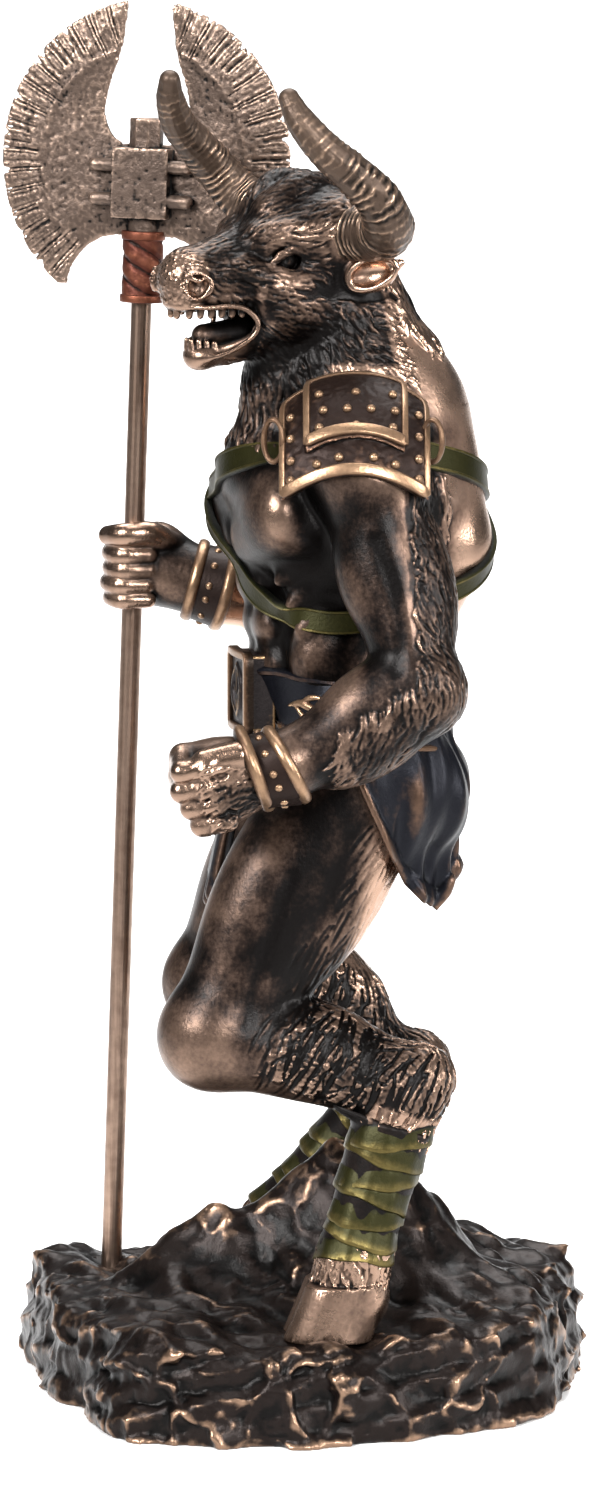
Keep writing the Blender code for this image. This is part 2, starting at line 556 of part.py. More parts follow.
def model_guard(clay):
    """The shoulder guard: one curved plate on another, each with a raised rim, and studs."""
    low, high = (10, -16, 186), (54, 38, 232)
    bulge = oval((18, 10.5, 196), (23.4, 24.5, 26.4))
    for front, back, foot, arch, lift in ((-5, 25.5, 204.6, 0.026, 0), (0.3, 20.6, 211.8, 0.03, 1.1)):
        edge = plate_side(front, back, foot, arch)
        clay.shape(low, high, lambda x, y, z: np.maximum(np.abs(bulge(x, y, z) - lift + 1) - 1.6, edge(x, y, z)))

        def rim(x, y, z):
            outside = edge(x, y, z)
            return np.maximum(np.abs(bulge(x, y, z) - lift - 0.4) - 0.8, np.maximum(outside, -1.9 - outside))

        clay.shape(low, high, rim, 0.3)
    for y, z in ((4, 216), (9, 219), (15, 218), (7, 213), (13, 214), (-2.5, 208), (23, 212), (2, 203), (18, 204)):
        spot = clay.settle([(40, y, z)], 0.0)[0]
        clay.ball(spot, (1.3, 1.3, 1.3), blend=0.3)
    for y in (-8.0, 27.0):
        loop = [(31 + 1.5 * math.cos(a), y + 2.6 * math.cos(a), 210.5 + 5 * math.sin(a), 0.9)
                for a in np.linspace(0, 2 * math.pi, 9)]
        clay.tube(loop, 0.4, steps=2)


def model_bracer(clay, side):
    wrist, elbow = WRIST[side], ELBOW[side]
    low, high = np.array(wrist) - 26, np.array(wrist) + 26
    clay.raise_band(low, high, sleeve(wrist, elbow, -2.0, 12.0, 14), 0.8)
    for edge in (-2.6, 1.0, 7.5, 11.0):
        clay.raise_band(low, high, sleeve(wrist, elbow, edge, edge + 2.0, 15), 0.8)


def model_wraps(clay, side):
    """Overlapping turns of cloth from the hock down to the fetlock."""
    hock, fetlock = np.array(HOCK[side]), np.array(FETLOCK[side])
    length = np.linalg.norm(fetlock - hock)
    way = (fetlock - hock) / length
    low, high = np.minimum(hock, fetlock) - 22, np.maximum(hock, fetlock) + 22
    whole = sleeve(hock, fetlock, 9, length + 1, 16)
    clay.raise_band(low, high, whole, 0.6)
    turns = 6
    for turn in range(turns):
        middle = hock + way * (11 + (length - 12) * turn / turns)
        band = slab(middle, way + np.array((0.08, 0.2 * (-1) ** turn, 0)), 1.8)
        clay.raise_band(low, high, lambda x, y, z: np.maximum(band(x, y, z), whole(x, y, z)), 0.7)


def model_locks(clay):
    """Locks of fur: on the mane and throat, behind the left arm, on the shanks and fetlocks."""
    pull = np.random.default_rng(7)
    beds = []
    for ring in range(5):
        middle = HEAD.at(-3, 0, -4) * (1 - ring / 4) + TORSO.at(0, 0, 18) * ring / 4
        for k in range(11):
            angle = 2 * math.pi * (k + 0.5 * (ring % 2)) / 11
            out = TORSO.way(math.cos(angle), math.sin(angle), 0)
            if out[1] < -0.5 and ring > 2 or abs(HEAD.way(1, 0, 0) @ out) > 0.6 and ring < 1:
                continue
            beds.append((middle + out * 18, TORSO.way(0.25 * math.cos(angle), 0, -1), 10))
    for share in np.linspace(0.15, 1.0, 7):
        spot = np.array(SHOULDER["left"]) * (1 - share) + np.array(ELBOW["left"]) * share
        beds.append((spot + (2, 9, 0), (0.1, 0.35, -1), 9))
        beds.append((spot + (8, 6, 0), (0.2, 0.35, -1), 8))
    for side in SIDES:
        knee, hock, fetlock = (np.array(p[side]) for p in (KNEE, HOCK, FETLOCK))
        for share in np.linspace(0.25, 0.95, 5):
            spot = knee * (1 - share) + hock * share
            beds.append((spot + (9 * SIDES[side], 0, 4), (0, 1, -0.5), 10))
            beds.append((spot + (9 * SIDES[side], 0, -4), (0, 1, -0.5), 10))
        for angle in np.linspace(0, 2 * math.pi, 8)[:-1]:
            spot = fetlock + np.array((8 * math.cos(angle), 8 * math.sin(angle), 0))
            beds.append((spot, (0.2 * math.cos(angle), 0.2 * math.sin(angle), -1), 6))
    for spot, way, length in beds:
        way = unit_vector(way)
        spots = np.array([spot + way * length * s for s in (0, 0.4, 0.8)])
        spots += pull.normal(0, 0.6, 3)
        path = clay.settle(spots, 0.2)
        path[2] += (path[2] - path[0]) * 0.05
        rows = [(*p, r) for p, r in zip(path, (1.1, 2.1, 0.7))]
        clay.tube(rows, 0.6, steps=3)


def make_figure_clay():
    clay = Clay((-52, -56, 14), (60, 54, 292), FIGURE_VOXEL)
    model_torso(clay)
    model_neck(clay)
    model_harness(clay)
    for side in SIDES:
        model_leg(clay, side)
    model_belt(clay)
    for side in SIDES:
        model_arm(clay, side)
    model_head(clay)
    model_locks(clay)
    model_skirt(clay)
    model_guard(clay)
    for side in SIDES:
        model_bracer(clay, side)
        model_wraps(clay, side)
        model_hoof(clay, side)
    model_left_fist(clay)
    model_right_fist(clay)
    return clay


# The rock's outline at the table, in millimetres as it goes round from the left, and its hills.
ROCK_OUTLINE = (
    (-49, -64), (-25, -62), (-9, -57), (5, -55.5), (16, -48), (33, -44), (42, -37), (47, -24), (48.5, -8),
    (47, 8), (42, 24), (33, 40), (23, 51), (8, 56.5), (-18, 60.5), (-40, 62.5), (-54, 49), (-60, 28),
    (-57, 2), (-61, -22), (-58, -46),
)
ROCK_HILLS = (
    (-10, 14, 27.5, 14.5, 17),
    (-24, 8, 7, 9, 12),
    (-12, -14, 17, 8.5, 21),
    (-34, 29, 9, 14, 16),
    (-2, 36, 6, 14, 13),
)


def ripple(x, y, z, size, seed):
    """Smooth uneven noise of about that size, from a few crossed waves."""
    rng = np.random.default_rng(seed)
    total = 0
    for _ in range(7):
        a, b, c = rng.normal(0, 1, 3) / size * 2.4
        total = total + np.sin(a * x + b * y + c * z + rng.uniform(0, 6.3))
    return total / 4


def rock_height(x, y):
    """The height of the rock's top at a place, in millimetres."""
    level = 1000 * HOOF_LEVEL
    ground = level + 1.5 + 0.012 * (y + 20) + 2.2 * ripple(x, y, 0, 16, 3)
    for cx, cy, rise, wide, long in ROCK_HILLS:
        away = ((x - cx) / wide) ** 2 + ((y - cy) / long) ** 2
        ground = ground + rise * np.exp(-(away**1.3))
    return ground + 1.2 * ripple(x, y, 0, 6, 4)


def make_rock_clay(figure):
    clay = Clay((-66, -70, -6), (54, 71, 62), ROCK_VOXEL)
    cut, (x, y, z) = clay.whole()
    side = outline_side(x, y, np.array(ROCK_OUTLINE, float) * BASE_SCALE)
    top = rock_height(x, y)
    slope = 0.16 * (z - 4) + 1.6 * ripple(x, y, 2.2 * z, 9, 5) + 1.2 * np.abs(ripple(x, y, z, 20, 6))
    wall = side + slope
    clay.merge(cut, (z - top) * 0.8, 0.1)
    clay.merge(cut, -wall.astype(np.float32), 4.0, carve=True)
    # The rock keeps clear of the figure, whose clay is measured in its own units.
    sx, sy = x / (1000 * UNIT), y / (1000 * UNIT)
    sz = (z / 1000 - HOOF_LEVEL - SEAT_GAP) / UNIT + GROUND
    grid = np.stack(np.broadcast_arrays(sx, sy, sz), -1).reshape(-1, 3)
    inside = (grid > figure.low + 2).all(1) & (grid < figure.low + figure.voxel * np.array(figure.field.shape) - 4).all(1)
    room = np.full(len(grid), Clay.FAR)
    room[inside] = figure.read(grid[inside])[0] * UNIT * 1000
    clay.field = np.maximum(clay.field, (1000 * ROCK_GAP - room).reshape(clay.field.shape)).astype(np.float32)
    return clay


def material(name):
    colour, roughness, metallic = FINISHES[name]
    made = bpy.data.materials.new(name)
    made.use_nodes = True
    made.diffuse_color = colour
    shader = made.node_tree.nodes["Principled BSDF"]
    shader.inputs["Base Color"].default_value = colour
    shader.inputs["Roughness"].default_value = roughness
    shader.inputs["Metallic"].default_value = metallic
    return made


def add_object(name, mesh, finish):
    obj = bpy.data.objects.new(name, mesh)
    bpy.context.scene.collection.objects.link(obj)
    mesh.materials.append(material(finish))
    return obj


def thin_out(obj, triangles):
    """Joins small facets until about that many triangles are left."""
    obj.data.update()
    count = sum(len(p.vertices) - 2 for p in obj.data.polygons)
    thin = obj.modifiers.new("thin_out", "DECIMATE")
    thin.ratio = triangles / count


def settle_mesh(obj):
    """Replaces an object's mesh by what its modifiers make of it."""
    graph = bpy.context.evaluated_depsgraph_get()
    mesh = bpy.data.meshes.new_from_object(obj.evaluated_get(graph))
    obj.modifiers.clear()
    obj.data = mesh


def round_object(name, radius, height, sides=24):
    """A cylinder along +Z from the origin, with flat ends."""
    mesh = bpy.data.meshes.new(name)
    bm = bmesh.new()
    bmesh.ops.create_cone(
        bm, cap_ends=True, segments=sides, radius1=radius, radius2=radius, depth=height,
        matrix=Matrix.Translation((0, 0, height / 2)),
    )
    bm.to_mesh(mesh)
    bm.free()
    obj = bpy.data.objects.new(name, mesh)
    bpy.context.scene.collection.objects.link(obj)
    return obj


def cut_away(obj, cutter):
    cutter.hide_render = True
    cutter.display_type = "WIRE"
    boolean = obj.modifiers.new(f"cut_{cutter.name}", "BOOLEAN")
    boolean.operation = "DIFFERENCE"
    boolean.solver = "EXACT"
    boolean.use_self = True
    boolean.object = cutter


def shaft_frame(distance=0.0):
    """The placement of a thing on the shaft's axis, that far above the shaft's foot."""
    foot = world(SHAFT_FOOT)
    turn = SHAFT_AXIS.to_track_quat("Z", "Y").to_matrix().to_4x4()
    return Matrix.Translation(foot + SHAFT_AXIS * distance) @ turn


def build_figure(clay):
    mesh = clay.mesh("minotaur_figure")
    offset = world((0, 0, 0))
    mesh.transform(Matrix.Translation(offset) @ Matrix.Scale(UNIT, 4))
    figure = add_object("minotaur_figure", mesh, "cold_cast_bronze")
    thin_out(figure, FIGURE_TRIANGLES)
    settle_mesh(figure)
    hand = round_object("hand_bore", SHAFT_RADIUS + BORE_GAP, 0.06)
    grip = (FIST["right"][2] - SHAFT_FOOT.z) * UNIT
    hand.matrix_world = shaft_frame(grip - 0.03)
    cut_away(figure, hand)
    return figure


def build_rock(figure_clay):
    mesh = make_rock_clay(figure_clay).mesh("rock_base")
    mesh.transform(Matrix.Scale(0.001, 4))
    rock = add_object("rock_base", mesh, "dark_rock")
    thin_out(rock, ROCK_TRIANGLES)
    settle_mesh(rock)
    bm = bmesh.new()
    bm.from_mesh(rock.data)
    everything = bm.verts[:] + bm.edges[:] + bm.faces[:]
    cut = bmesh.ops.bisect_plane(
        bm, geom=everything, plane_co=(0, 0, 0), plane_no=(0, 0, -1), clear_outer=True
    )
    rim = [e for e in cut["geom_cut"] if isinstance(e, bmesh.types.BMEdge)]
    bmesh.ops.holes_fill(bm, edges=rim)
    bmesh.ops.recalc_face_normals(bm, faces=bm.faces)
    bm.to_mesh(rock.data)
    bm.free()
    for side, (x, y, _) in HOOF.items():
        pad = round_object(f"{side}_hoof_pad", 0.0128, 0.014, 20)
        spot = world((x, y, GROUND))
        pad.location = (spot.x, spot.y, HOOF_LEVEL)
        pad.scale = (1, 1.12, 1)
        cut_away(rock, pad)
    socket = round_object("shaft_socket", SHAFT_RADIUS + BORE_GAP, SOCKET_DEPTH + SEAT_GAP + 0.02)
    socket.matrix_world = shaft_frame(-SOCKET_DEPTH - SEAT_GAP)
    cut_away(rock, socket)
    return rock


def build_shaft():
    top = SHAFT_RISE * UNIT + BORE_DEPTH
    shaft = round_object("axe_shaft", SHAFT_RADIUS, SOCKET_DEPTH + top)
    shaft.data.materials.append(material("bronze_rod"))
    shaft.matrix_world = shaft_frame(-SOCKET_DEPTH)
    return shaft


def blade_outline():
    """One blade's outline, in millimetres from the middle of the block, at the full reach."""
    outline = []
    for angle in np.radians(np.linspace(93, 5, 7)):
        outline.append((5.0 + 12.4 * math.cos(angle), -24.0 + 12.4 * math.sin(angle)))
    for angle in np.radians(np.linspace(-52, 78, 20)):
        outline.append((-2.1 + 35.1 * math.cos(angle), 4.9 + 35.1 * math.sin(angle)))
    inner = ((5.0, 37.4), (6.3, 28.4), (8.9, 20.5), (9.6, 14.5), (7.9, 10.2), (5.4, 8.4))
    return np.array(outline + list(smooth_path(inner, 2)) + [(-1, 8.4), (-1, -11.6)])


def outline_side(x, y, points):
    """The distance from a closed outline, negative inside it."""
    nearest = np.full(np.broadcast(x, y).shape, 1e6)
    inside = np.zeros(nearest.shape, bool)
    for (ax, ay), (bx, by) in zip(points, np.roll(points, -1, axis=0)):
        wx, wy = bx - ax, by - ay
        share = np.clip(((x - ax) * wx + (y - ay) * wy) / (wx**2 + wy**2), 0, 1)
        nearest = np.minimum(nearest, (x - ax - share * wx) ** 2 + (y - ay - share * wy) ** 2)
        crosses = (ay > y) != (by > y)
        inside ^= crosses & (x < ax + (y - ay) * wx / (wy if wy else 1e-9))
    return np.where(inside, -1, 1) * np.sqrt(nearest)


def make_axe_clay():
    """The axe head in millimetres: X across both blades, Z up, the origin under its neck."""
    centre = 1000 * (WRAP_LENGTH + NECK_RISE)
    reach = 1000 * BLADE_REACH
    clay = Clay((-reach - 3, -8, -2), (reach + 3, 8, centre + 1.3 * reach), AXE_VOXEL)

    def blades(x, y, z):
        u, v = np.abs(x) * 33 / reach + 0 * z, (z - centre) * 33 / reach + 0 * x
        side = outline_side(u, v, blade_outline()) * reach / 33
        thick = np.interp(-side, (0, 7), (500 * EDGE_THICKNESS, 500 * BLADE_THICKNESS))
        return np.maximum(side, np.abs(y) - thick)

    def block(x, y, z):
        gaps = [np.abs(g) - 500 * size for g, size in zip((x, y, z - centre), BLOCK_SIZE)]
        return np.maximum(np.maximum(gaps[0], gaps[1]), gaps[2])

    low, high = clay.low, clay.low + clay.voxel * np.array(clay.field.shape)
    clay.shape(low, high, blades, 0.1)
    clay.shape(low, high, block, 0.3)
    for level in (-1, 1):
        ends = [(s * 1000 * LUG_REACH, 0, centre + 3.7 * level) for s in (-1, 1)]
        rod = sleeve(ends[0], ends[1], 0, 2000 * LUG_REACH, 1000 * LUG_RADIUS)
        for depth in (-2.9, 2.9):
            clay.shape(low, high, lambda x, y, z: rod(x, y - depth, z), 0.2)
    top = centre + 500 * BLOCK_SIZE[2]
    rod = sleeve((0, 0, 0), (0, 0, 1), top - 2, top + 1000 * CAP_HEIGHT, 1000 * CAP_RADIUS)
    clay.shape(low, high, rod, 0.2)
    neck = sleeve((0, 0, 0), (0, 0, 1), 0, centre - 4, 1000 * WRAP_RADIUS)
    clay.shape(low, high, neck, 0.3)
    for first in (0, 1000 * WRAP_LENGTH - 2):
        collar = sleeve((0, 0, 0), (0, 0, 1), first, first + 2, 1120 * WRAP_RADIUS)
        clay.shape(low, high, collar, 0.2)
    return clay


def build_axe_head():
    """Blades, block, lugs, cap and leather-bound neck, cast as one piece."""
    mesh = make_axe_clay().mesh("axe_head")
    mesh.transform(Matrix.Scale(0.001, 4))
    head = add_object("axe_head", mesh, "axe_bronze")
    thin_out(head, AXE_TRIANGLES)
    settle_mesh(head)
    bore = round_object("axe_bore", SHAFT_RADIUS + BORE_GAP, BORE_DEPTH + SEAT_GAP + 0.004)
    turn = Matrix.Rotation(math.radians(90 - AXE_YAW), 4, "Z")
    head.matrix_world = shaft_frame(SHAFT_RISE * UNIT) @ turn
    bore.matrix_world = shaft_frame(SHAFT_RISE * UNIT - 0.004)
    cut_away(head, bore)
    return head


def finish_shading():
    """Smooth facets, with sharp edges where two meet at more than 50 degrees."""
    for obj in bpy.data.objects:
        if obj.type != "MESH" or obj.hide_render:
            continue
        obj.data.shade_smooth()
        obj.data.set_sharp_from_angle(angle=math.radians(50))


def main():
    for obj in list(bpy.data.objects):
        bpy.data.objects.remove(obj, do_unlink=True)
    clay = make_figure_clay()
    build_figure(clay)
    build_rock(clay)
    build_shaft()
    build_axe_head()
    finish_shading()


if __name__ == "__main__":
    main()
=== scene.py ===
import math

import bpy
import numpy as np
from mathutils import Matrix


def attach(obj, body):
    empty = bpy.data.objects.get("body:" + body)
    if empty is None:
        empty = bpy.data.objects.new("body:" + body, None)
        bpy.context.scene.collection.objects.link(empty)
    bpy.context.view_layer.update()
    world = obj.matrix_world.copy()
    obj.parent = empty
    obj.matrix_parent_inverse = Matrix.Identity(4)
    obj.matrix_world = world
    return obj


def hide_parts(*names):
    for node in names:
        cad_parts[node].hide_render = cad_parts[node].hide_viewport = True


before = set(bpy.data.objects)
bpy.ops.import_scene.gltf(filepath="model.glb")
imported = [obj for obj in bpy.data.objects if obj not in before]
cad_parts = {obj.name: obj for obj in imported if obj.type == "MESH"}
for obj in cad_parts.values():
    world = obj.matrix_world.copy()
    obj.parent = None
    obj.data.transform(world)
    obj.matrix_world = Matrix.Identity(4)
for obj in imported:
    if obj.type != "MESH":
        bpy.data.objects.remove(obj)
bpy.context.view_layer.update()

import openvdb
from mathutils import Matrix, Vector

# Everything is measured in millimetres in the part's frame: X is the figure's left,
# -Y its front and Z up. Only the finished meshes are in metres.
mm = 0.001
soleLevel = 19.3

# The skeleton that the body is modelled round
hips = (0.5, 9.5, 139)
neckBase = (1, 14, 214)
bones = {
    "shoulder": {"left": (26, 12.5, 206), "right": (-26, 3.5, 205)},
    "elbow": {"left": (38, 23.6, 159), "right": (-39, 15, 162.5)},
    "wrist": {"left": (42, -4, 144), "right": (-36, -18, 171.5)},
    "fist": {"left": (42, -18, 140.5), "right": (-37.5, -36, 176.2)},
    "hip": {"left": (14, 11, 138), "right": (-14, 8.5, 138)},
    "knee": {"left": (22, -18.8, 83.5), "right": (-25, -18.8, 86)},
    "hock": {"left": (24, 22.5, 73), "right": (-29, 22.8, 65.5)},
    "fetlock": {"left": (27, 10.5, 37), "right": (-33, -3.5, 33)},
    "hoof": {"left": (27, 5.8, soleLevel), "right": (-34, -9.5, soleLevel)},
}
sides = {"left": 1, "right": -1}
shaftFoot = np.array((-36.5, -43.2, 19.2))
shaftWay = np.array((0, 8.0, 228.6)) / math.hypot(8.0, 228.6)

# How finely each piece is sculpted: grid step, and about how many triangles are kept
fineness = {
    "head": (0.28, 170000),
    "upper": (0.35, 90000),
    "arm": (0.35, 110000),
    "lower": (0.36, 110000),
    "cloth": (0.45, 40000),
    "guard": (0.26, 60000),
    "blade": (0.24, 80000),
    "rock": (0.60, 120000),
}


def gridStep(name):
    return fineness[name][0] * 1


def mostTriangles(name):
    return int(fineness[name][1] * (1))


def unitVector(v):
    v = np.array(v, float)
    return v / np.linalg.norm(v)


def bone(name, side):
    return np.array(bones[name][side], float)


# A local frame: forward, left and up, turned by yaw, pitch and roll in degrees
class Frame:
    def __init__(self, origin, yaw=0.0, pitch=0.0, roll=0.0):
        self.origin = np.array(origin, float)
        turn = (
            Matrix.Rotation(math.radians(yaw), 3, "Z")
            @ Matrix.Rotation(math.radians(-pitch), 3, "X")
            @ Matrix.Rotation(math.radians(roll), 3, "Y")
        )
        self.axes = np.array(turn @ Matrix(((0, 1, 0), (-1, 0, 0), (0, 0, 1))))

    def at(self, forward, left, up):
        return self.origin + self.axes @ np.array((forward, left, up), float)

    def way(self, forward, left, up):
        return self.axes @ np.array((forward, left, up), float)

    def local(self, points):
        return (np.asarray(points) - self.origin) @ self.axes


torso = Frame((1, 9, 190), yaw=14)
head = Frame((2.5, 2.0, 247), yaw=32, roll=3)


# Rows read from a smooth curve through the given rows of numbers
def smoothPath(points, steps):
    rows = np.array(points, float)
    ends = np.vstack([2 * rows[0] - rows[1], rows, 2 * rows[-1] - rows[-2]])
    path = []
    for p0, p1, p2, p3 in zip(ends, ends[1:], ends[2:], ends[3:]):
        for s in np.arange(steps) / steps:
            bend = (2 * p0 - 5 * p1 + 4 * p2 - p3) * s**2
            swing = (3 * p1 - p0 - 3 * p2 + p3) * s**3
            path.append(0.5 * (2 * p1 + (p2 - p0) * s + bend + swing))
    path.append(rows[-1])
    return np.array(path)


# Smooth uneven noise of about that size, from a few crossed waves, as the solid rock has
def ripple(x, y, z, size, seed):
    rng = np.random.default_rng(seed)
    total = 0
    for _ in range(7):
        a, b, c = rng.normal(0, 1, 3) / size * 2.4
        total = total + np.sin(a * x + b * y + c * z + rng.uniform(0, 6.3))
    return total / 4


# Large primes that scatter the cells of the lattice over the table
hashX, hashY, hashZ = 73856093, 19349663, 83492791


# Lattice noise from -1 to 1, with lumps of about that size
def grain(points, size, seed):
    table = np.random.default_rng(seed).uniform(-1, 1, 4096).astype(np.float32)
    spot = np.asarray(points) / size + 512.0
    base = np.floor(spot).astype(np.int64)
    f = (spot - base).astype(np.float32)
    f = f * f * (3 - 2 * f)
    total = 0
    for i in (0, 1):
        for j in (0, 1):
            for k in (0, 1):
                key = (base[:, 0] + i) * hashX ^ (base[:, 1] + j) * hashY ^ (base[:, 2] + k) * hashZ
                share = (f[:, 0] if i else 1 - f[:, 0]) * (f[:, 1] if j else 1 - f[:, 1])
                total = total + table[key & 4095] * share * (f[:, 2] if k else 1 - f[:, 2])
    return total


# How far each point is from the nearest and second nearest of some scattered pips
def pips(points, size, seed):
    table = np.random.default_rng(seed).uniform(0, 1, (4096, 3)).astype(np.float32)
    spot = np.asarray(points) / size + 512.0
    base = np.floor(spot).astype(np.int64)
    near = np.full(len(spot), 9.0, np.float32)
    far = near.copy()
    for i in (-1, 0, 1):
        for j in (-1, 0, 1):
            for k in (-1, 0, 1):
                cell = base + (i, j, k)
                key = cell[:, 0] * 73856093 ^ cell[:, 1] * 19349663 ^ cell[:, 2] * 83492791
                gap = np.linalg.norm(cell + table[key & 4095] - spot, axis=1).astype(np.float32)
                far = np.minimum(far, np.maximum(near, gap))
                near = np.minimum(near, gap)
    return near * size, far * size


# Modelling clay: a distance field on a grid, built up and cut by soft shapes
class Clay:
    far = 12.0

    def __init__(self, low, high, step):
        self.low = np.array(low, float)
        self.step = step
        counts = np.ceil((np.array(high) - self.low) / step).astype(int) + 1
        self.ticks = [(self.low[i] + step * np.arange(counts[i])).astype(np.float32) for i in range(3)]
        self.field = np.full(counts, self.far, np.float32)

    # The slices of the grid inside a box, and the X, Y and Z of its points
    def window(self, low, high):
        cut, axes = [], []
        for i in range(3):
            first = np.searchsorted(self.ticks[i], low[i])
            last = np.searchsorted(self.ticks[i], high[i])
            cut.append(slice(first, max(last, first + 1)))
            shape = [1, 1, 1]
            shape[i] = -1
            axes.append(self.ticks[i][cut[i]].reshape(shape))
        return tuple(cut), axes

    def whole(self):
        return self.window([t[0] for t in self.ticks], [t[-1] + 1 for t in self.ticks])

    # Adds a shape to the clay, or takes it away, with a fillet of about that size
    def merge(self, cut, shape, blend, carve=False):
        here = self.field[cut]
        if carve:
            mix = np.maximum(blend - np.abs(here + shape), 0)
            self.field[cut] = np.maximum(here, -shape) + mix * mix / (4 * blend)
        else:
            mix = np.maximum(blend - np.abs(here - shape), 0)
            self.field[cut] = np.minimum(here, shape) - mix * mix / (4 * blend)

    # An ellipsoid: its radii along `along`, along `across`, and along the third axis
    def ball(self, centre, radii, along=(1, 0, 0), across=(0, 0, 1), blend=2.0, carve=False):
        a = unitVector(along)
        c = np.array(across, float)
        c = unitVector(c - a * (a @ c))
        b = np.cross(c, a)
        reach = max(radii) + blend + 3 * self.step
        centre = np.array(centre, float)
        cut, (x, y, z) = self.window(centre - reach, centre + reach)
        x, y, z = x - float(centre[0]), y - float(centre[1]), z - float(centre[2])
        first = second = 0
        for axis, radius in zip((a, c, b), radii):
            local = (x * float(axis[0]) + y * float(axis[1]) + z * float(axis[2])) / radius
            first = first + local**2
            second = second + (local / radius) ** 2
        first, second = np.sqrt(first), np.sqrt(second) + 1e-6
        self.merge(cut, first * (first - 1) / second, blend, carve)

    # A tapered round limb. flat is (direction, share) and squeezes it that way
    def limb(self, start, end, rStart, rEnd, blend=2.0, flat=None, carve=False):
        a, b = np.array(start, float), np.array(end, float)
        reach = max(rStart, rEnd) + blend + 3 * self.step
        cut, (x, y, z) = self.window(np.minimum(a, b) - reach, np.maximum(a, b) + reach)
        way = (b - a).tolist()
        span = sum(w * w for w in way)
        px, py, pz = x - float(a[0]), y - float(a[1]), z - float(a[2])
        share = np.clip((px * way[0] + py * way[1] + pz * way[2]) / span, 0, 1)
        qx, qy, qz = px - share * way[0], py - share * way[1], pz - share * way[2]
        squared = qx**2 + qy**2 + qz**2
        if flat is not None:
            axis, squeeze = unitVector(flat[0]).tolist(), flat[1]
            off = qx * axis[0] + qy * axis[1] + qz * axis[2]
            squared = squared + off**2 * (1 / squeeze**2 - 1)
        self.merge(cut, np.sqrt(squared) - (rStart + (rEnd - rStart) * share), blend, carve)

    # A round tube through (x, y, z, radius) rows, on a smooth curve
    def tube(self, points, blend=1.0, steps=5, carve=False):
        self.strand(smoothPath(points, steps), blend, carve)

    # The same through rows that are already close together
    def strand(self, path, blend, carve=False):
        reach = path[:, 3].max() + blend + 2 * self.step
        cut, (x, y, z) = self.window(path[:, :3].min(0) - reach, path[:, :3].max(0) + reach)
        shape = None
        rows = path.tolist()
        for p, q in zip(rows[:-1], rows[1:]):
            way = [q[i] - p[i] for i in range(3)]
            span = sum(w * w for w in way) + 1e-9
            px, py, pz = x - p[0], y - p[1], z - p[2]
            share = np.clip((px * way[0] + py * way[1] + pz * way[2]) / span, 0, 1)
            qx, qy, qz = px - share * way[0], py - share * way[1], pz - share * way[2]
            gap = np.sqrt(qx**2 + qy**2 + qz**2) - (p[3] + (q[3] - p[3]) * share)
            shape = gap if shape is None else np.minimum(shape, gap)
        self.merge(cut, shape, blend, carve)

    # Any solid given by a function of x, y and z that is negative inside it
    def shape(self, low, high, distance, blend=0.5, carve=False):
        cut, axes = self.window(np.array(low, float), np.array(high, float))
        value = np.broadcast_to(distance(*axes), self.field[cut].shape)
        self.merge(cut, value.astype(np.float32), blend, carve)

    # The field at each point, and its slope if it is asked for
    def read(self, points, sloped=True):
        spot = (np.asarray(points, float) - self.low) / self.step
        spot = np.clip(spot, 1, np.array(self.field.shape) - 3)
        base = spot.astype(int)
        f = spot - base
        x, y, z = base.T
        value, slope = 0, np.zeros((len(spot), 3))
        for i in (0, 1):
            for j in (0, 1):
                for k in (0, 1):
                    part = self.field[x + i, y + j, z + k]
                    wx = f[:, 0] if i else 1 - f[:, 0]
                    wy = f[:, 1] if j else 1 - f[:, 1]
                    wz = f[:, 2] if k else 1 - f[:, 2]
                    value = value + part * wx * wy * wz
                    if sloped:
                        slope[:, 0] += (2 * i - 1) * part * wy * wz
                        slope[:, 1] += (2 * j - 1) * part * wx * wz
                        slope[:, 2] += (2 * k - 1) * part * wx * wy
        if not sloped:
            return value
        slope /= np.linalg.norm(slope, axis=1, keepdims=True) + 1e-9
        return value, slope

    # Moves points to that height over the clay's surface
    def settle(self, points, height=0.0, rounds=8):
        points = np.array(points, float)
        for _ in range(rounds):
            value, slope = self.read(points)
            points = points - slope * np.clip(value - height, -4, 4)[:, None]
        return points

    # Above 0.5 on ridges and below it in grooves that are narrower than about twice the reach
    def convexity(self, points, reach):
        total = 0
        tilt = (1 + math.sqrt(5)) / 2
        corners = [(0, a, b * tilt) for a in (-1, 1) for b in (-1, 1)]
        for corner in corners:
            for turn in range(3):
                total = total + self.read(points + np.roll(unitVector(corner), turn) * reach, False)
        return np.clip(0.5 + total / 12 / reach, 0, 1)

    # Adds relief to the surface: a function of the points near it says how far it is lifted
    def emboss(self, lift, band=3.0):
        near = np.nonzero(np.abs(self.field) < band)
        points = np.stack([self.ticks[i][near[i]] for i in range(3)], -1)
        self.field[near] -= lift(points).astype(np.float32)

    # A box of the clay, cut by a limit that is negative where it is kept
    # and reaching a little past it, with a rounded rim that dips under the piece beside it
    def portion(self, low, high, limit=None, overlap=1.2):
        cut, axes = self.window(np.array(low, float), np.array(high, float))
        piece = Clay.__new__(Clay)
        piece.step = self.step
        piece.ticks = [self.ticks[i][cut[i]] for i in range(3)]
        piece.low = np.array([t[0] for t in piece.ticks], float)
        piece.field = self.field[cut].copy()
        if limit is not None:
            edge = (limit(*axes) - overlap).astype(np.float32)
            mix = np.maximum(1 - np.abs(piece.field - edge), 0)
            piece.field = np.maximum(piece.field, edge) + mix * mix / 4
        # the outermost layer is air, so that the piece is closed
        for i in range(3):
            for end in (0, -1):
                layer = [slice(None)] * 3
                layer[i] = end
                piece.field[tuple(layer)] = self.step
        return piece

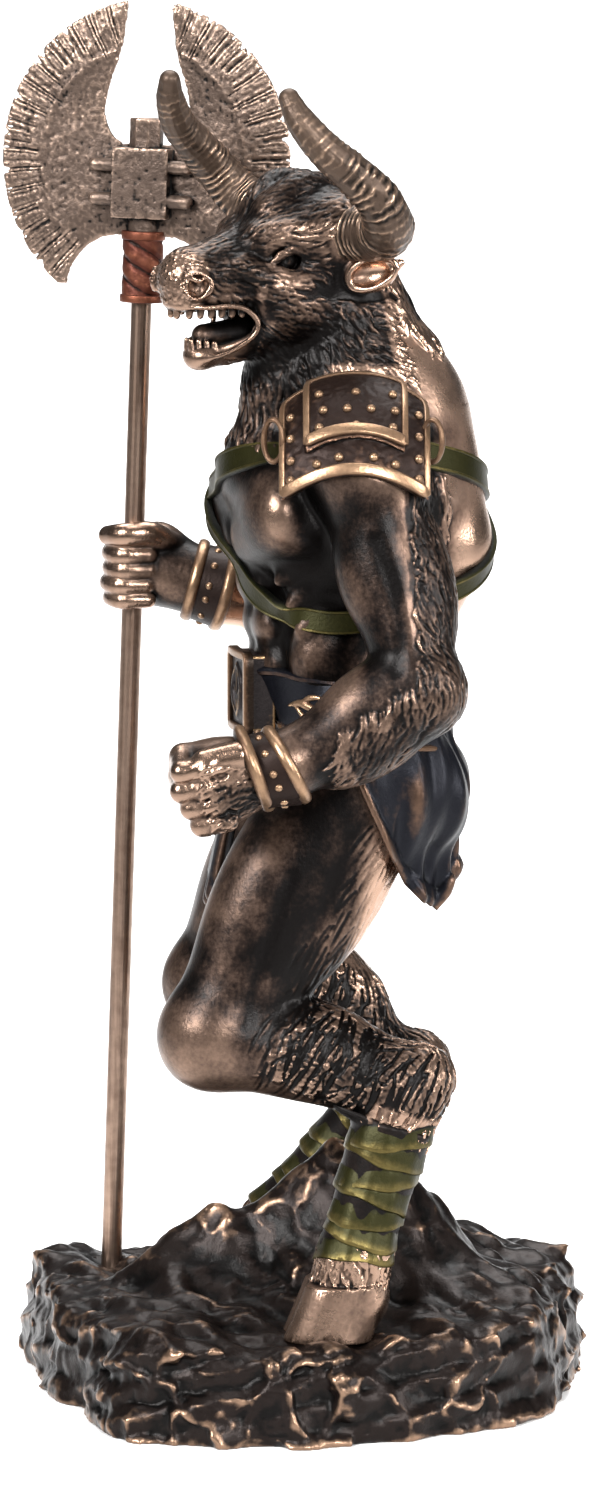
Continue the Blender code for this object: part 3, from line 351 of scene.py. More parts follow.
    def skin(self):
        grid = openvdb.FloatGrid()
        grid.background = self.far
        grid.copyFromArray(np.ascontiguousarray(self.field))
        points, quads = grid.convertToQuads(0.0)
        return self.low + np.array(points, float) * self.step, np.array(quads)


# Pieces and their meshes


def meshObject(name, points, faces, material=None):
    # points in millimetres, faces all triangles or all quads
    faces = np.asarray(faces)
    mesh = bpy.data.meshes.new(name)
    mesh.vertices.add(len(points))
    mesh.vertices.foreach_set("co", (np.asarray(points, float) * mm).ravel())
    mesh.loops.add(faces.size)
    mesh.loops.foreach_set("vertex_index", faces.astype(np.int32).ravel())
    mesh.polygons.add(len(faces))
    mesh.polygons.foreach_set("loop_start", np.arange(0, faces.size, faces.shape[1], dtype=np.int32))
    mesh.update(calc_edges=True)
    mesh.validate()
    piece = bpy.data.objects.new(name, mesh)
    bpy.context.scene.collection.objects.link(piece)
    if material is not None:
        mesh.materials.append(material)
    return piece


def pickOnly(piece):
    bpy.ops.object.select_all(action="DESELECT")
    piece.select_set(True)
    bpy.context.view_layer.objects.active = piece


def applyModifiers(piece):
    pickOnly(piece)
    for modifier in list(piece.modifiers):
        bpy.ops.object.modifier_apply(modifier=modifier.name)


# Drops loose crumbs: only closed bits with at least that share of the largest one are kept
def tidyBits(points, quads, share):
    label = np.arange(len(points))
    while True:
        least = label[quads].min(axis=1)
        lower = label.copy()
        for corner in range(4):
            np.minimum.at(lower, quads[:, corner], least)
        lower = lower[lower]
        if (lower == label).all():
            break
        label = lower
    names, counts = np.unique(label, return_counts=True)
    keep = np.isin(label, names[counts >= counts.max() * share])
    index = np.cumsum(keep) - 1
    return points[keep], index[quads[keep[quads[:, 0]]]]


# Turns clay into a mesh piece with two attributes that the materials read:
# ridge, from fine relief, and swell, from broad form
def castPiece(
    name, clay, kind, material, source=None, share=0.5, fineReach=0.55, broadReach=4.5, relief=None
):
    points, quads = tidyBits(*clay.skin(), share)
    piece = meshObject(name, points, quads, material)
    most = mostTriangles(kind)
    if 2 * len(quads) > most:
        thin = piece.modifiers.new("thin", "DECIMATE")
        thin.ratio = most / (2 * len(quads))
        applyModifiers(piece)
    smoothShade(piece)
    points = pointsOf(piece)
    clay = source or clay
    setAttribute(piece, "ridge", clay.convexity(points, max(fineReach, 1.5 * clay.step)))
    setAttribute(piece, "swell", clay.convexity(points, broadReach))
    for key, reader in (relief or {}).items():
        setAttribute(piece, key, reader(points))
    print(name, "cast,", len(piece.data.polygons), "faces")
    return piece


def pointsOf(piece):
    points = np.empty(len(piece.data.vertices) * 3)
    piece.data.vertices.foreach_get("co", points)
    return points.reshape(-1, 3) / mm


def setAttribute(piece, name, values):
    layer = piece.data.attributes.new(name, "FLOAT", "POINT")
    layer.data.foreach_set("value", np.asarray(values, np.float32))


def smoothShade(piece, sharpAngle=None):
    piece.data.shade_smooth()
    if sharpAngle:
        piece.data.set_sharp_from_angle(angle=math.radians(sharpAngle))


def standFor(piece, node):
    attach(piece, "root")
    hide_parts(node)
    return piece


def castOn(piece):
    return standFor(piece, "minotaur_figure")


# A band swept along a path: the profile is (across, out) pairs round its section,
# and each point of the path has its own across and out directions
def sweep(name, path, across, out, profile, material, closed=True, lift=None):
    path, across, out = (np.asarray(a, float) for a in (path, across, out))
    profile = np.asarray(profile, float)
    count, around = len(path), len(profile)
    section = profile[None].repeat(count, 0)
    if lift is not None:
        section = lift(section.copy())
    points = path[:, None] + across[:, None] * section[..., :1] + out[:, None] * section[..., 1:]
    faces = []
    for i in range(count if closed else count - 1):
        j = (i + 1) % count
        for k in range(around):
            m = (k + 1) % around
            faces.append((i * around + k, i * around + m, j * around + m, j * around + k))
    points = points.reshape(-1, 3)
    if not closed:
        # the ends are closed by fans of quads round a middle line
        for row, flip in ((0, True), (count - 1, False)):
            for k in range(around // 2 - 1):
                a, b = row * around + k, row * around + k + 1
                c, d = row * around + around - 2 - k, row * around + around - 1 - k
                faces.append((a, b, c, d) if flip else (d, c, b, a))
    piece = meshObject(name, points, np.array(faces), material)
    faceOutward(piece)
    smoothShade(piece, 50)
    return piece


# What the materials read on a band: high on the raised edges of its section, low in its dips
def finishBand(piece, profile, count):
    height = np.array([v for _, v in profile])
    top, low = height.max(), height[height > 0].min()
    ridge = np.where(height > 0, 0.44 + 0.34 * (height - low) / max(top - low, 0.3), 0.2)
    setAttribute(piece, "ridge", np.tile(ridge, count))
    setAttribute(piece, "swell", np.full(len(ridge) * count, 0.5))


def castBand(name, loop, profile, material, lift=None):
    band = sweep(name, *loop, profile, material, lift=lift)
    finishBand(band, profile, len(loop[0]))
    return castOn(band)


def flatRelief(piece, ridge):
    setAttribute(piece, "ridge", np.full(len(piece.data.vertices), ridge))
    setAttribute(piece, "swell", np.full(len(piece.data.vertices), 0.5))


def faceOutward(piece):
    pickOnly(piece)
    bpy.ops.object.mode_set(mode="EDIT")
    bpy.ops.mesh.select_all(action="SELECT")
    bpy.ops.mesh.normals_make_consistent(inside=False)
    bpy.ops.object.mode_set(mode="OBJECT")


# Rings of points joined into one closed tube
def tubeMesh(name, rows, material):
    around = rows.shape[1]
    faces = []
    for i in range(len(rows) - 1):
        for k in range(around):
            m = (k + 1) % around
            faces.append((i * around + k, i * around + m, (i + 1) * around + m, (i + 1) * around + k))
    for row in (0, len(rows) - 1):
        for k in range(around // 2 - 1):
            corners = [row * around + c for c in (k, k + 1, around - 2 - k, around - 1 - k)]
            faces.append(corners if row else corners[::-1])
    piece = meshObject(name, rows.reshape(-1, 3), np.array(faces), material)
    faceOutward(piece)
    smoothShade(piece)
    return piece


# A rounded bar's section: width across, height out, sunk a little below the surface
def barProfile(width, height, sunk=0.5, corner=0.35, steps=3):
    w, h, r = width / 2, height, min(corner, width / 2, height)
    section = [(-w, -sunk)]
    for middle, start in (((-w + r, h - r), 180), ((w - r, h - r), 90)):
        for k in range(steps + 1):
            angle = math.radians(start - 90 * k / steps)
            section.append((middle[0] + r * math.cos(angle), middle[1] + r * math.sin(angle)))
    section.append((w, -sunk))
    return section


rayStep = 0.3


# A taut loop round the clay: where rays from a middle point, square to an axis, leave it
def loopAround(clay, centre, axis, count, most, height, waves):
    axis, centre = unitVector(axis), np.array(centre, float)
    side = unitVector(np.cross(axis, (0.3, 0.1, 1) if abs(axis[2]) < 0.9 else (0, 1, 0.1)))
    fore = np.cross(axis, side)
    turns = 2 * math.pi * np.arange(count) / count
    rays = np.cos(turns)[:, None] * side + np.sin(turns)[:, None] * fore
    reach = np.arange(0.0, most, rayStep)
    spots = centre + rays[:, None] * reach[None, :, None]
    value = clay.read(spots.reshape(-1, 3), False).reshape(count, -1) - height
    outside = value > 0
    outside[:, -1] = True
    first = np.maximum(outside.argmax(1), 1)
    rows = np.arange(count)
    a, b = value[rows, first - 1], value[rows, first]
    radius = reach[first - 1] + rayStep * np.clip(-a / (b - a + 1e-9), 0, 1)
    # only its first few waves are kept, pushed out over what stands proud of them
    taut = radius
    for _ in range(3):
        parts = np.fft.rfft(np.maximum(taut, radius))
        parts[waves + 1 :] = 0
        taut = np.fft.irfft(parts, count)
    return centre + rays * taut[:, None]


# Small domes set on a surface: one mesh of many rivets
def rivets(name, spots, normals, radius, material, rise=0.75):
    points, faces = [], []
    rings, around = 4, 12
    for spot, normal in zip(np.asarray(spots, float), np.asarray(normals, float)):
        normal = unitVector(normal)
        side = unitVector(np.cross(normal, (0.2, 0.3, 1)))
        fore = np.cross(normal, side)
        start = len(points)
        for ring in range(rings + 1):
            angle = -0.35 + (math.pi / 2 + 0.35) * ring / rings
            flat, up = radius * math.cos(angle), radius * rise * math.sin(angle)
            for k in range(around):
                turn = 2 * math.pi * k / around
                away = side * math.cos(turn) + fore * math.sin(turn)
                points.append(spot + away * max(flat, 0.02) + normal * up)
        for ring in range(rings):
            for k in range(around):
                a, b = start + ring * around + k, start + ring * around + (k + 1) % around
                faces.append((a, b, b + around, a + around))
        top = start + rings * around
        for k in range(1, around // 2):
            faces.append((top + k - 1, top + k, top + around - k - 1, top + (around - k) % around))
            base = start
            faces.append((base + (around - k) % around, base + around - k - 1, base + k, base + k - 1))
    piece = meshObject(name, np.array(points), np.array(faces), material)
    smoothShade(piece)
    return piece


# The body, modelled as the solid is, and then finished more finely


def modelTorso(clay):
    t = torso.at
    side, front, up = torso.way(0, 1, 0), torso.way(1, 0, 0), (0, 0, 1)
    clay.ball(t(2, 0, 0), (24, 21.5, 24), up, front, blend=4)
    clay.ball(t(-9, 0, 9), (20, 18, 25), up, front, blend=8)
    clay.ball(t(4.5, 0, -27), (20, 15.5, 16), up, front, blend=8)
    clay.ball(hips, (19, 17.5, 16), side, (0, 1, 0), blend=8)
    for s in (-1, 1):
        clay.ball(t(19.2, 11.0 * s, 3.5), (13.5, 7.2, 10.0), torso.way(0, 1, 0.2 * s), front, blend=4)
        clay.limb(t(20.2, 4 * s, -2.2), t(14.5, 18.5 * s, 0.5), 4.6, 4.6, blend=5)
        clay.limb(t(15.5, 12 * s, 10), t(4, 23 * s, 14), 6.5, 8, blend=5)
        clay.ball(t(-7, 16 * s, -4), (24, 11, 8), torso.way(0, 0.15 * s, 1), front, blend=7)
        clay.limb(t(-8, 3 * s, 22), t(0, 21 * s, 17), 8, 6.5, blend=5)
        clay.ball(t(-19.5, 10 * s, 6), (15, 7, 9), up, front, blend=4)
        clay.limb(t(-18.5, 12 * s, -4), t(-8, 5 * s, -33), 9.5, 6.0, blend=6)
        clay.limb(t(-19, 3 * s, 8), t(-9, 2 * s, -33), 7.5, 6.5, blend=4)
        clay.ball(t(6, 14 * s, -27), (12, 10, 6), up, front, blend=3)
        for lift, lean in ((-12, 20.5), (-20.5, 19), (-29, 17.6)):
            clay.ball(t(lean, 4.6 * s, lift), (4.7, 4, 2.6), side, up, blend=3)
        for rib in range(4):
            spot = t(13.6 - 2.2 * rib, (15.6 + 0.6 * rib) * s, -7 - 5.2 * rib)
            clay.ball(spot, (7.0, 2.2, 1.9), torso.way(1, 0, -0.6), up, blend=3.5)
        clay.ball((hips[0] + 10.5 * s, hips[1] + 11, hips[2] - 6), (12, 10.5, 12), blend=3)
    clay.limb(t(-25, 0, 12), t(-14, 0, -30), 1.6, 1.4, blend=3, carve=True)
    clay.limb(t(27, 0, 6), t(23, 0, -32), 0.9, 0.9, blend=2, carve=True)


def modelNeck(clay):
    clay.limb(head.at(-2, 0, -2), neckBase, 13, 17, blend=5)
    clay.limb(neckBase, torso.at(-4, 0, 10), 17.5, 20, blend=7)
    clay.limb(head.at(7, 0, -12), torso.at(14, 0, 14), 7.5, 9.5, blend=6)
    clay.ball(torso.at(18, 0, 12), (9, 9, 12), (0, 0, 1), torso.way(1, 0, 0), blend=5)
    clay.ball(torso.at(-11, 0, 21), (16, 14, 17), (0, 0, 1), torso.way(1, 0, 0), blend=6)


# Brow, muzzle and nose first, then the open mouth, then what stands in and on them
def modelHead(clay):
    h, w = head.at, head.way
    ahead, left, up = w(1, 0, 0), w(0, 1, 0), w(0, 0, 1)
    clay.ball(h(2, 0, 3.2), (14.5, 12.2, 13), ahead, up, blend=4)
    clay.ball(h(7, 0, 9.5), (9.5, 5.6, 8.5), ahead, up, blend=3)
    clay.limb(h(13, 0, -1.2), h(30.5, 0, -4.0), 9.6, 6.2, blend=4, flat=(left, 0.92))
    clay.ball(h(32.3, 0, -3.8), (4.6, 5.6, 6.4), ahead, up, blend=3)
    clay.limb(h(18, 0, -7.6), h(32, 0, -8.3), 7.2, 4.6, blend=1.5, flat=(up, 0.5))
    clay.limb(h(4, 0, -11), h(27.3, 0, -20.2), 9.5, 3.6, blend=3, flat=(w(0.35, 0, 1), 0.8))
    clay.ball(h(27.4, 0, -19.8), (3.4, 2.6, 4.6), w(1, 0, -0.1), up, blend=1.5)
    clay.ball(h(30.5, 0, -14.3), (11.4, 4.0, 14), w(1, 0, -0.06), up, blend=0.8, carve=True)
    clay.ball(h(20, 0, -14.6), (8.5, 3.2, 5), w(1, 0, -0.2), up, blend=1.2, carve=True)
    clay.limb(h(13, 0, -15.6), h(27.0, 0, -15.9), 4.0, 2.5, blend=0.8)
    clay.limb(h(18, 0, -11.9), h(26.5, 0, -13.4), 0.5, 0.35, blend=0.6, carve=True)
    for s in (-1, 1):
        clay.ball(h(9, 8.4 * s, -7), (10.5, 8.5, 4.6), w(1, 0, -0.4), up, blend=3)
        clay.limb(h(17.0, 5.6 * s, 4.9), h(8, 8.8 * s, 6.0), 2.7, 3.2, blend=4)
        clay.ball(h(13.0, 9.6 * s, 0.5), (3.1, 2.6, 2.2), ahead, up, blend=1.2, carve=True)
        modelEye(clay, s)
        clay.limb(h(22, 6.8 * s, -0.6), h(14, 9.5 * s, -5), 1.8, 2.6, blend=2)
        clay.ball(h(32.3, 5.4 * s, -4.2), (3.9, 3.7, 2.6), w(1, 0.35 * s, 0), up, blend=1)
        modelNostril(clay, s)
        lip = (
            (34.6, 2.2, -9.4), (32.6, 5.0, -9.1), (29.3, 6.2, -9.3), (24.8, 7.2, -9.0),
            (21.4, 8.1, -9.8),
            (19.2, 8.9, -12.2), (19.6, 8.7, -14.9), (22.6, 7.3, -17.6), (26.3, 5.4, -19.5),
            (29.2, 2.6, -20.4),
        )
        clay.tube([(*h(f, l * s, u), 0.55) for f, l, u in lip], 0.9, steps=4)
        base = hornPath(s)[0]
        clay.ball(base[:3], (base[3] + 1.2, base[3] + 1.2, base[3] + 1.2), blend=3)
        for tooth in range(7):
            share = tooth / 6
            spot = h(34.2 - 12.5 * share, (1.2 + 5.6 * share**0.7) * s, -9.6)
            clay.limb(spot, spot + w(0.1, 0, -1.7 + 0.5 * share), 0.9, 0.75, blend=0.3)
        for tooth in range(4):
            share = tooth / 3
            spot = h(30.3 - 4.2 * share, (0.8 + 2.7 * share) * s, -18.4)
            clay.limb(spot, spot + w(0.25, 0, 1.7 - 0.4 * share), 0.8, 0.6, blend=0.25)
        clay.tube(
            [(*h(1, 3 * s, 15.4), 2.4), (*h(8, 4 * s, 15.2), 2.6), (*h(13.5, 3.4 * s, 10.4), 1.6)], 3
        )
        modelEar(clay, s)


# A wide-open eye: a ball between two lids, with the brow's folds above it
def modelEye(clay, s):
    h, w = head.at, head.way
    clay.ball(h(12.6, 8.4 * s, 0.6), (2.5, 2.5, 2.5), w(1, 0, 0), w(0, 0, 1), blend=0.15)
    clay.ball(h(13.9, 10.7 * s, 0.7), (0.75, 0.75, 0.5), w(1, 0, 0), w(0, 0, 1), blend=0.2, carve=True)
    upper = (
        (16.3, 9.0, -0.6, 0.5), (15.0, 10.2, 1.6, 0.65), (12.6, 11.0, 2.7, 0.75),
        (10.2, 11.2, 1.6, 0.65), (8.9, 11.1, -0.3, 0.5),
    )
    lower = (
        (16.3, 9.0, -0.6, 0.5), (14.6, 10.4, -1.7, 0.6), (12.2, 10.9, -2.2, 0.65),
        (10.0, 11.1, -1.6, 0.6), (8.9, 11.1, -0.3, 0.5),
    )
    for lid in (upper, lower):
        clay.tube([(*h(f, l * s, u), r) for f, l, u, r in lid], 0.35, steps=3)
    for lift, reach in ((4.6, 0.8), (6.6, 0.7)):
        rows = (
            (18.5, 6.6, lift - 0.4, 0.5), (15.5, 8.6, lift + 0.6, reach),
            (11.5, 10.2, lift + 0.9, reach), (7.5, 11.0, lift - 0.4, 0.5),
        )
        clay.tube([(*h(f, l * s, u), r) for f, l, u, r in rows], 1.6, steps=3)
    bag = ((16.5, 8.8, -3.4, 0.7), (13.0, 10.7, -4.6, 0.9), (9.0, 11.6, -3.8, 0.7))
    clay.tube([(*h(f, l * s, u), r) for f, l, u, r in bag], 0.8, steps=3)


# The nostril is a deep hole in a round raised rim
def modelNostril(clay, s):
    h, w = head.at, head.way
    rim = [
        (33.6 + 3.0 * math.cos(a), 7.4 - 1.3 * math.cos(a), -4.2 + 2.5 * math.sin(a))
        for a in np.linspace(0, 2 * math.pi, 13)
    ]
    thick = [0.50 + 0.32 * math.cos(a + 2.3) for a in np.linspace(0, 2 * math.pi, 13)]
    clay.tube([(*h(f, l * s, u), r) for (f, l, u), r in zip(rim, thick)], 0.7, steps=2)
    clay.ball(
        h(33.6, 7.9 * s, -4.4), (2.3, 2.4, 1.6), w(1, 0.4 * s, 0), w(0, 0, 1), blend=0.4, carve=True
    )
    clay.tube(
        [
            (*h(35.2, 6.9 * s, -2.4), 0.5), (*h(33.2, 7.6 * s, -3.3), 0.7),
            (*h(32.0, 7.8 * s, -3.0), 0.4),
        ],
        0.4, steps=3,
    )


def modelEar(clay, s):
    h, w = head.at, head.way
    middle, up = h(-2.8, 17.8 * s, -2.0), w(0, 0, 1)
    mouth, along = w(0.62, 0.78 * s, 0.05), w(-0.66, 0.70 * s, 0.28)
    clay.limb(h(-1, 10 * s, -2.8), middle, 3.0, 3.4, blend=2)
    clay.ball(middle, (5.4, 4.0, 2.7), along, up, blend=1)
    clay.limb(
        middle + along * 3.2, middle + along * 6.6 + up * 0.8, 2.6, 0.9, blend=1, flat=(mouth, 0.7)
    )
    clay.ball(middle + mouth * 2.3, (4.4, 2.8, 2.9), along, up, blend=0.5, carve=True)
    rim = []
    for turn in np.linspace(0, 2 * math.pi, 13):
        reach = 4.9 + 1.1 * max(math.cos(turn), 0)
        rim.append(
            (*(middle + mouth * 1.5 + along * reach * math.cos(turn) + up * 3.3 * math.sin(turn)), 0.6)
        )
    clay.tube(rim, 0.6, steps=3)


# A horn leaves the side of the head, swings out and back, then up and in to a blunt tip
def hornPath(s):
    shape = (
        (0, 9, 6.6, 6.6),
        (-1.5, 16, 6.4, 6.3),
        (-1.5, 24, 7.4, 5.9),
        (1.0, 29.6, 10.2, 5.4),
        (5.5, 31.9, 15.6, 4.8),
        (11.2, 30.8, 20.8, 4.3),
        (16.6, 29.0, 25.4, 3.8),
        (20.6, 26.2, 30.8, 3.2),
        (22.4, 23.9, 35.6, 2.3),
    )
    return [(*head.at(f, l * s, u), r) for f, l, u, r in shape]


def modelArm(clay, side):
    start, elbow, wrist, fist = (bone(n, side) for n in ("shoulder", "elbow", "wrist", "fist"))
    out = torso.way(0, sides[side], 0)
    upper, fore = elbow - start, wrist - elbow
    back = unitVector(unitVector(upper) - unitVector(fore))
    clay.ball(start + out * 1.0 + (0, 0, 1), (14.5, 12.5, 12.5), upper, out, blend=4)
    clay.limb(start, elbow, 10.8, 8.0, blend=4)
    clay.ball(start + upper * 0.52 - back * 4.4, (15, 8, 8), upper, out, blend=2)
    clay.ball(start + upper * 0.48 + back * 5.0, (18, 7.8, 8.2), upper, out, blend=2)
    clay.ball(elbow + back * 1.0, (6.8, 7.6, 7), upper, out, blend=3)
    clay.limb(elbow, wrist, 9.2, 6.8, blend=3)
    clay.ball(elbow + fore * 0.3 + (0, 0, 2.8), (15, 8.4, 7.4), fore, (0, 0, 1), blend=2.5)
    clay.ball(elbow + fore * 0.38 - (0, 0, 4.4), (15, 7.4, 6.6), fore, (0, 0, 1), blend=2.5)
    clay.limb(wrist, fist - fore * 0.12, 6.6, 7, blend=3)


# Clenched at the waist: knuckles forward, the thumb across the inner side
def modelLeftFist(clay):
    centre = bone("fist", "left")
    ahead = unitVector(centre - bone("wrist", "left"))
    up = np.array((0.25, 0, 1.0))
    up = unitVector(up - ahead * (ahead @ up))
    inward = np.cross(up, ahead)
    clay.ball(centre - ahead * 0.4, (9.4, 9.2, 7.6), ahead, up, blend=3)
    for finger in range(4):
        rise = up * (6.4 - 4.2 * finger)
        knuckle = centre + rise + ahead * (6.9 - 1.1 * abs(finger - 1)) - inward * 2.2
        bend = knuckle + inward * 7.6 + ahead * 0.6
        clay.limb(centre + rise * 0.8 - inward * 3.6, knuckle, 2.6, 2.9, blend=2.6)
        clay.limb(knuckle, bend, 2.8, 2.4, blend=0.9)
        clay.limb(bend, bend - ahead * 5.5 + inward * 0.8, 2.3, 2.0, blend=0.7)
    thumb = centre + up * 6.4 + inward * 4.5 - ahead * 3
    clay.limb(thumb - ahead * 3, thumb + ahead * 4.5 + up * 0.5, 3.2, 2.7, blend=1.2)
    clay.limb(thumb + ahead * 4.5, thumb + ahead * 7 - up * 4.5 + inward, 2.6, 2.2, blend=0.8)


# Closed round the upright shaft: the fingers lie across its near side, the thumb above
def modelRightFist(clay):
    grip = shaftFoot + shaftWay * ((bones["fist"]["right"][2] - shaftFoot[2]) / shaftWay[2])
    clay.ball(grip + (-3.5, 5.0, 1.0), (8.8, 7.6, 6.4), shaftWay, (0, 1, 0), blend=3)
    clay.limb(grip + (-2.5, 6, 0), bones["wrist"]["right"], 7.2, 6.8, blend=3)
    bends = ((-5.4, 1.5), (-4.2, -3.9), (0.6, -5.1), (4.6, -2.2), (4.6, 3.4))
    for finger, radius in enumerate((2.1, 2.1, 2.0, 1.8)):
        level = grip + shaftWay * (3.2 - 3.3 * finger)
        shape = zip(bends, (0.95, 1.12, 0.92, 1.14, 0.95))
        sway = 0.35 * math.sin(2.4 * finger)
        clay.tube(
            [(*(level + (x, y + sway, 0)), radius * wide) for (x, y), wide in shape], blend=0.5, steps=4
        )
    thumb = ((0, 8, 4.5, 3.4), (4.0, 3.6, 7.6, 3.0), (5.2, -2.0, 7.7, 2.7), (1.8, -5.6, 7.3, 2.2))
    clay.tube([(*(grip + shaftWay * up + (x, y, 0)), r) for x, y, up, r in thumb], blend=0.6)


def modelLeg(clay, side):
    s = sides[side]
    hip, knee, hock, fetlock = (bone(n, side) for n in ("hip", "knee", "hock", "fetlock"))
    thigh, shank = knee - hip, hock - knee
    out = np.array((s, 0, 0.0))
    front = unitVector(np.cross(thigh, out) * s)
    front = front if front[1] < 0 else -front
    clay.limb(hip, knee, 17, 11.4, blend=6, flat=(out, 0.84))
    clay.ball(hip + thigh * 0.44 + front * 5.0 + out * 2, (27, 11, 10), thigh, front, blend=3)
    clay.ball(hip + thigh * 0.66 + front * 4.0 - out * 4, (16, 8.5, 7), thigh, front, blend=3)
    clay.ball(hip + thigh * 0.36 - front * 8.5 + out * 1, (25, 9.5, 9), thigh, front, blend=3.5)
    clay.limb(hip + thigh * 0.45 - front * 9, knee + shank * 0.16 + out * 3, 6, 3.6, blend=2)
    clay.ball(knee + front * 1.2 - (0, 0, 0.6), (11.4, 10.6, 9.4), thigh, front, blend=3)
    clay.limb(knee, hock - (0, 1, 0), 10.6, 8.2, blend=4)
    clay.ball(knee + shank * 0.48 + (0, 0, 3.6), (16, 8.6, 8.4), shank, (0, 0, 1), blend=3)
    if side == "right":
        clay.ball(knee + shank * 0.66 + (0, -1, 10), (17, 9.5, 9), (0, 0.55, -0.83), out, blend=3)
    clay.limb(hock - (0, 1.5, 0), hock + (0, 2.5, 1.5), 8.4, 6.6, blend=3)
    clay.limb(hock - (0, 2.5, 4), fetlock, 8.8, 7.0, blend=3, flat=(out, 0.92))
    clay.limb(fetlock, bone("hoof", side) + (0, 3.4, 11), 7.4, 7.8, blend=2.5)


# A cloven hoof: two tapered claws side by side, flat below
def modelHoof(clay, side):
    x, y, sole = bones["hoof"][side]
    low, high = np.array((x, y, sole)) - (16, 18, 5), np.array((x, y, sole)) + (16, 18, 15)

    def claws(gx, gy, gz):
        height = (gz - sole) / 12.0
        grow = 1.1 - 0.2 * height
        long = (gy - (y - 1.0 + 3.2 * height)) / (8.7 * grow)
        pair = np.minimum(np.abs(gx - x - 4.3), np.abs(gx - x + 4.3)) / (5.2 * grow)
        wall = (np.sqrt(long**2 + pair**2) - 1) * 5.2 * grow
        return np.maximum(wall, np.maximum(gz - sole - 12, sole - gz))

    clay.shape(low, high, claws, 0.6)
    clay.ball((x, y + 7.5, sole + 8), (5.5, 4.5, 6.5), (0, 0, 1), (0, 1, 0), blend=2.5)
    clay.limb((x, y - 12, sole - 2), (x, y - 8, sole + 12), 1.1, 0.7, blend=0.8, carve=True)
    clay.shape(low, high, lambda gx, gy, gz: gz - sole + 0 * gx + 0 * gy, 0.01, carve=True)


# How far a point is outside a rod with round ends
def rodGap(x, y, z, start, end, radius):
    a, way = np.array(start, float), np.array(end, float) - np.array(start, float)
    px, py, pz = x - a[0], y - a[1], z - a[2]
    share = np.clip((px * way[0] + py * way[1] + pz * way[2]) / (way @ way), 0, 1)
    dx, dy, dz = px - share * way[0], py - share * way[1], pz - share * way[2]
    return np.sqrt(dx ** 2 + dy ** 2 + dz ** 2) - radius


# Where a point lies along a bone, from 0 to 1, and how far it is from the bone's line
def alongBone(points, start, end):
    a, way = np.array(start, float), np.array(end, float) - np.array(start, float)
    share = (points - a) @ way / (way @ way)
    return share, np.linalg.norm(points - a - share[:, None] * way, axis=1)


# Positive on the body's side of the cut between an arm and the body
def armCut(x, y, z, side):
    start, elbow, wrist, fist = (bone(n, side) for n in ("shoulder", "elbow", "wrist", "fist"))
    arm = np.minimum(rodGap(x, y, z, start, elbow, 11), rodGap(x, y, z, elbow, wrist, 8.5))
    arm = np.minimum(arm, rodGap(x, y, z, wrist, fist, 9.5))
    body = rodGap(x, y, z, neckBase, hips, 21)
    for leg in sides:
        body = np.minimum(body, rodGap(x, y, z, bones["hip"][leg], bones["knee"][leg], 17))
    return 0.5 * (arm - body)


# Positive below the cut between the neck and the body, in the mane
def neckCut(x, y, z):
    return 222 - z - 0.15 * (y - 14) + 0 * x


def waistCut(x, y, z):
    return z - 152 + 0 * x + 0 * y


# Fur


# Where strands of fur start: surface points picked by a mask, one for each cell of that size
def furRoots(clay, where, spacing, seed):
    rng = np.random.default_rng(seed)
    near = np.nonzero(np.abs(clay.field) < 0.55 * clay.step)
    points = np.stack([clay.ticks[i][near[i]] for i in range(3)], -1).astype(float)
    points = points[where(points)]
    points = points[rng.permutation(len(points))]
    cells = np.floor(points / spacing + rng.uniform(0, 1, 3)).astype(int)
    return points[np.unique(cells, axis=0, return_index=True)[1]]


# Paths of strands that follow the surface: way gives the fur's direction at each point
def furPaths(clay, coat, seed):
    rng = np.random.default_rng(seed)
    roots = furRoots(clay, coat["where"], coat["spacing"], seed)
    count, steps = len(roots), coat.get("steps", 5)
    slope = clay.read(roots)[1]
    way = coat["way"](roots)
    way = way + 0.28 * np.stack([grain(roots, coat["length"] * 0.9, seed + k) for k in (1, 2, 3)], -1)
    way -= slope * (way * slope).sum(1)[:, None]
    way /= np.linalg.norm(way, axis=1)[:, None] + 1e-9
    length = coat["length"] * rng.uniform(0.7, 1.15, count)
    start = np.radians(rng.normal(0, coat.get("stray", 10), count))
    bend = np.radians(
        coat.get("curl", 30) * np.sign(grain(roots, 3.5, seed + 9)) * rng.uniform(0.5, 1.3, count)
    )
    rise = np.interp(
        np.linspace(0, 1, steps + 1), (0, 0.3, 0.7, 1), coat.get("rise", (-0.4, 0.25, 0.55, 0.35))
    )
    thick = np.interp(np.linspace(0, 1, steps + 1), (0, 0.3, 0.6, 1), (0.45, 1.0, 0.85, 0.22))
    size = coat["radius"] * rng.uniform(0.75, 1.2, count)
    spot, rows = roots, []
    for step in range(steps + 1):
        rows.append(np.column_stack([spot, thick[step] * size]))
        if step == steps:
            break
        # each strand swings one way and then back, like a stretched letter S
        turn = start + bend * math.cos(math.pi * (step + 0.5) / steps)
        side = np.cross(slope, way)
        ahead = way * np.cos(turn)[:, None] + side * np.sin(turn)[:, None]
        spot = spot + ahead * (length / steps)[:, None]
        value, slope = clay.read(spot)
        spot = spot - slope * np.clip(value - rise[step + 1], -2, 2)[:, None]
        way = way - slope * (way * slope).sum(1)[:, None]
        way /= np.linalg.norm(way, axis=1)[:, None] + 1e-9
    return np.stack(rows, 1)


def layFur(clays, coats, seed):
    laid = []
    for index, coat in enumerate(coats):
        paths = furPaths(clays[0], coat, seed + 17 * index)
        laid.append((paths, coat.get("blend", 0.2), coat.get("carve", False)))
    total = 0
    for paths, blend, carve in laid:
        total += len(paths)
        for clay in clays:
            high = clay.low + clay.step * np.array(clay.field.shape)
            for path in paths:
                if (path[:, :3].max(0) > clay.low).all() and (path[:, :3].min(0) < high).all():
                    clay.strand(path, blend, carve)
    print("fur,", total, "strands")


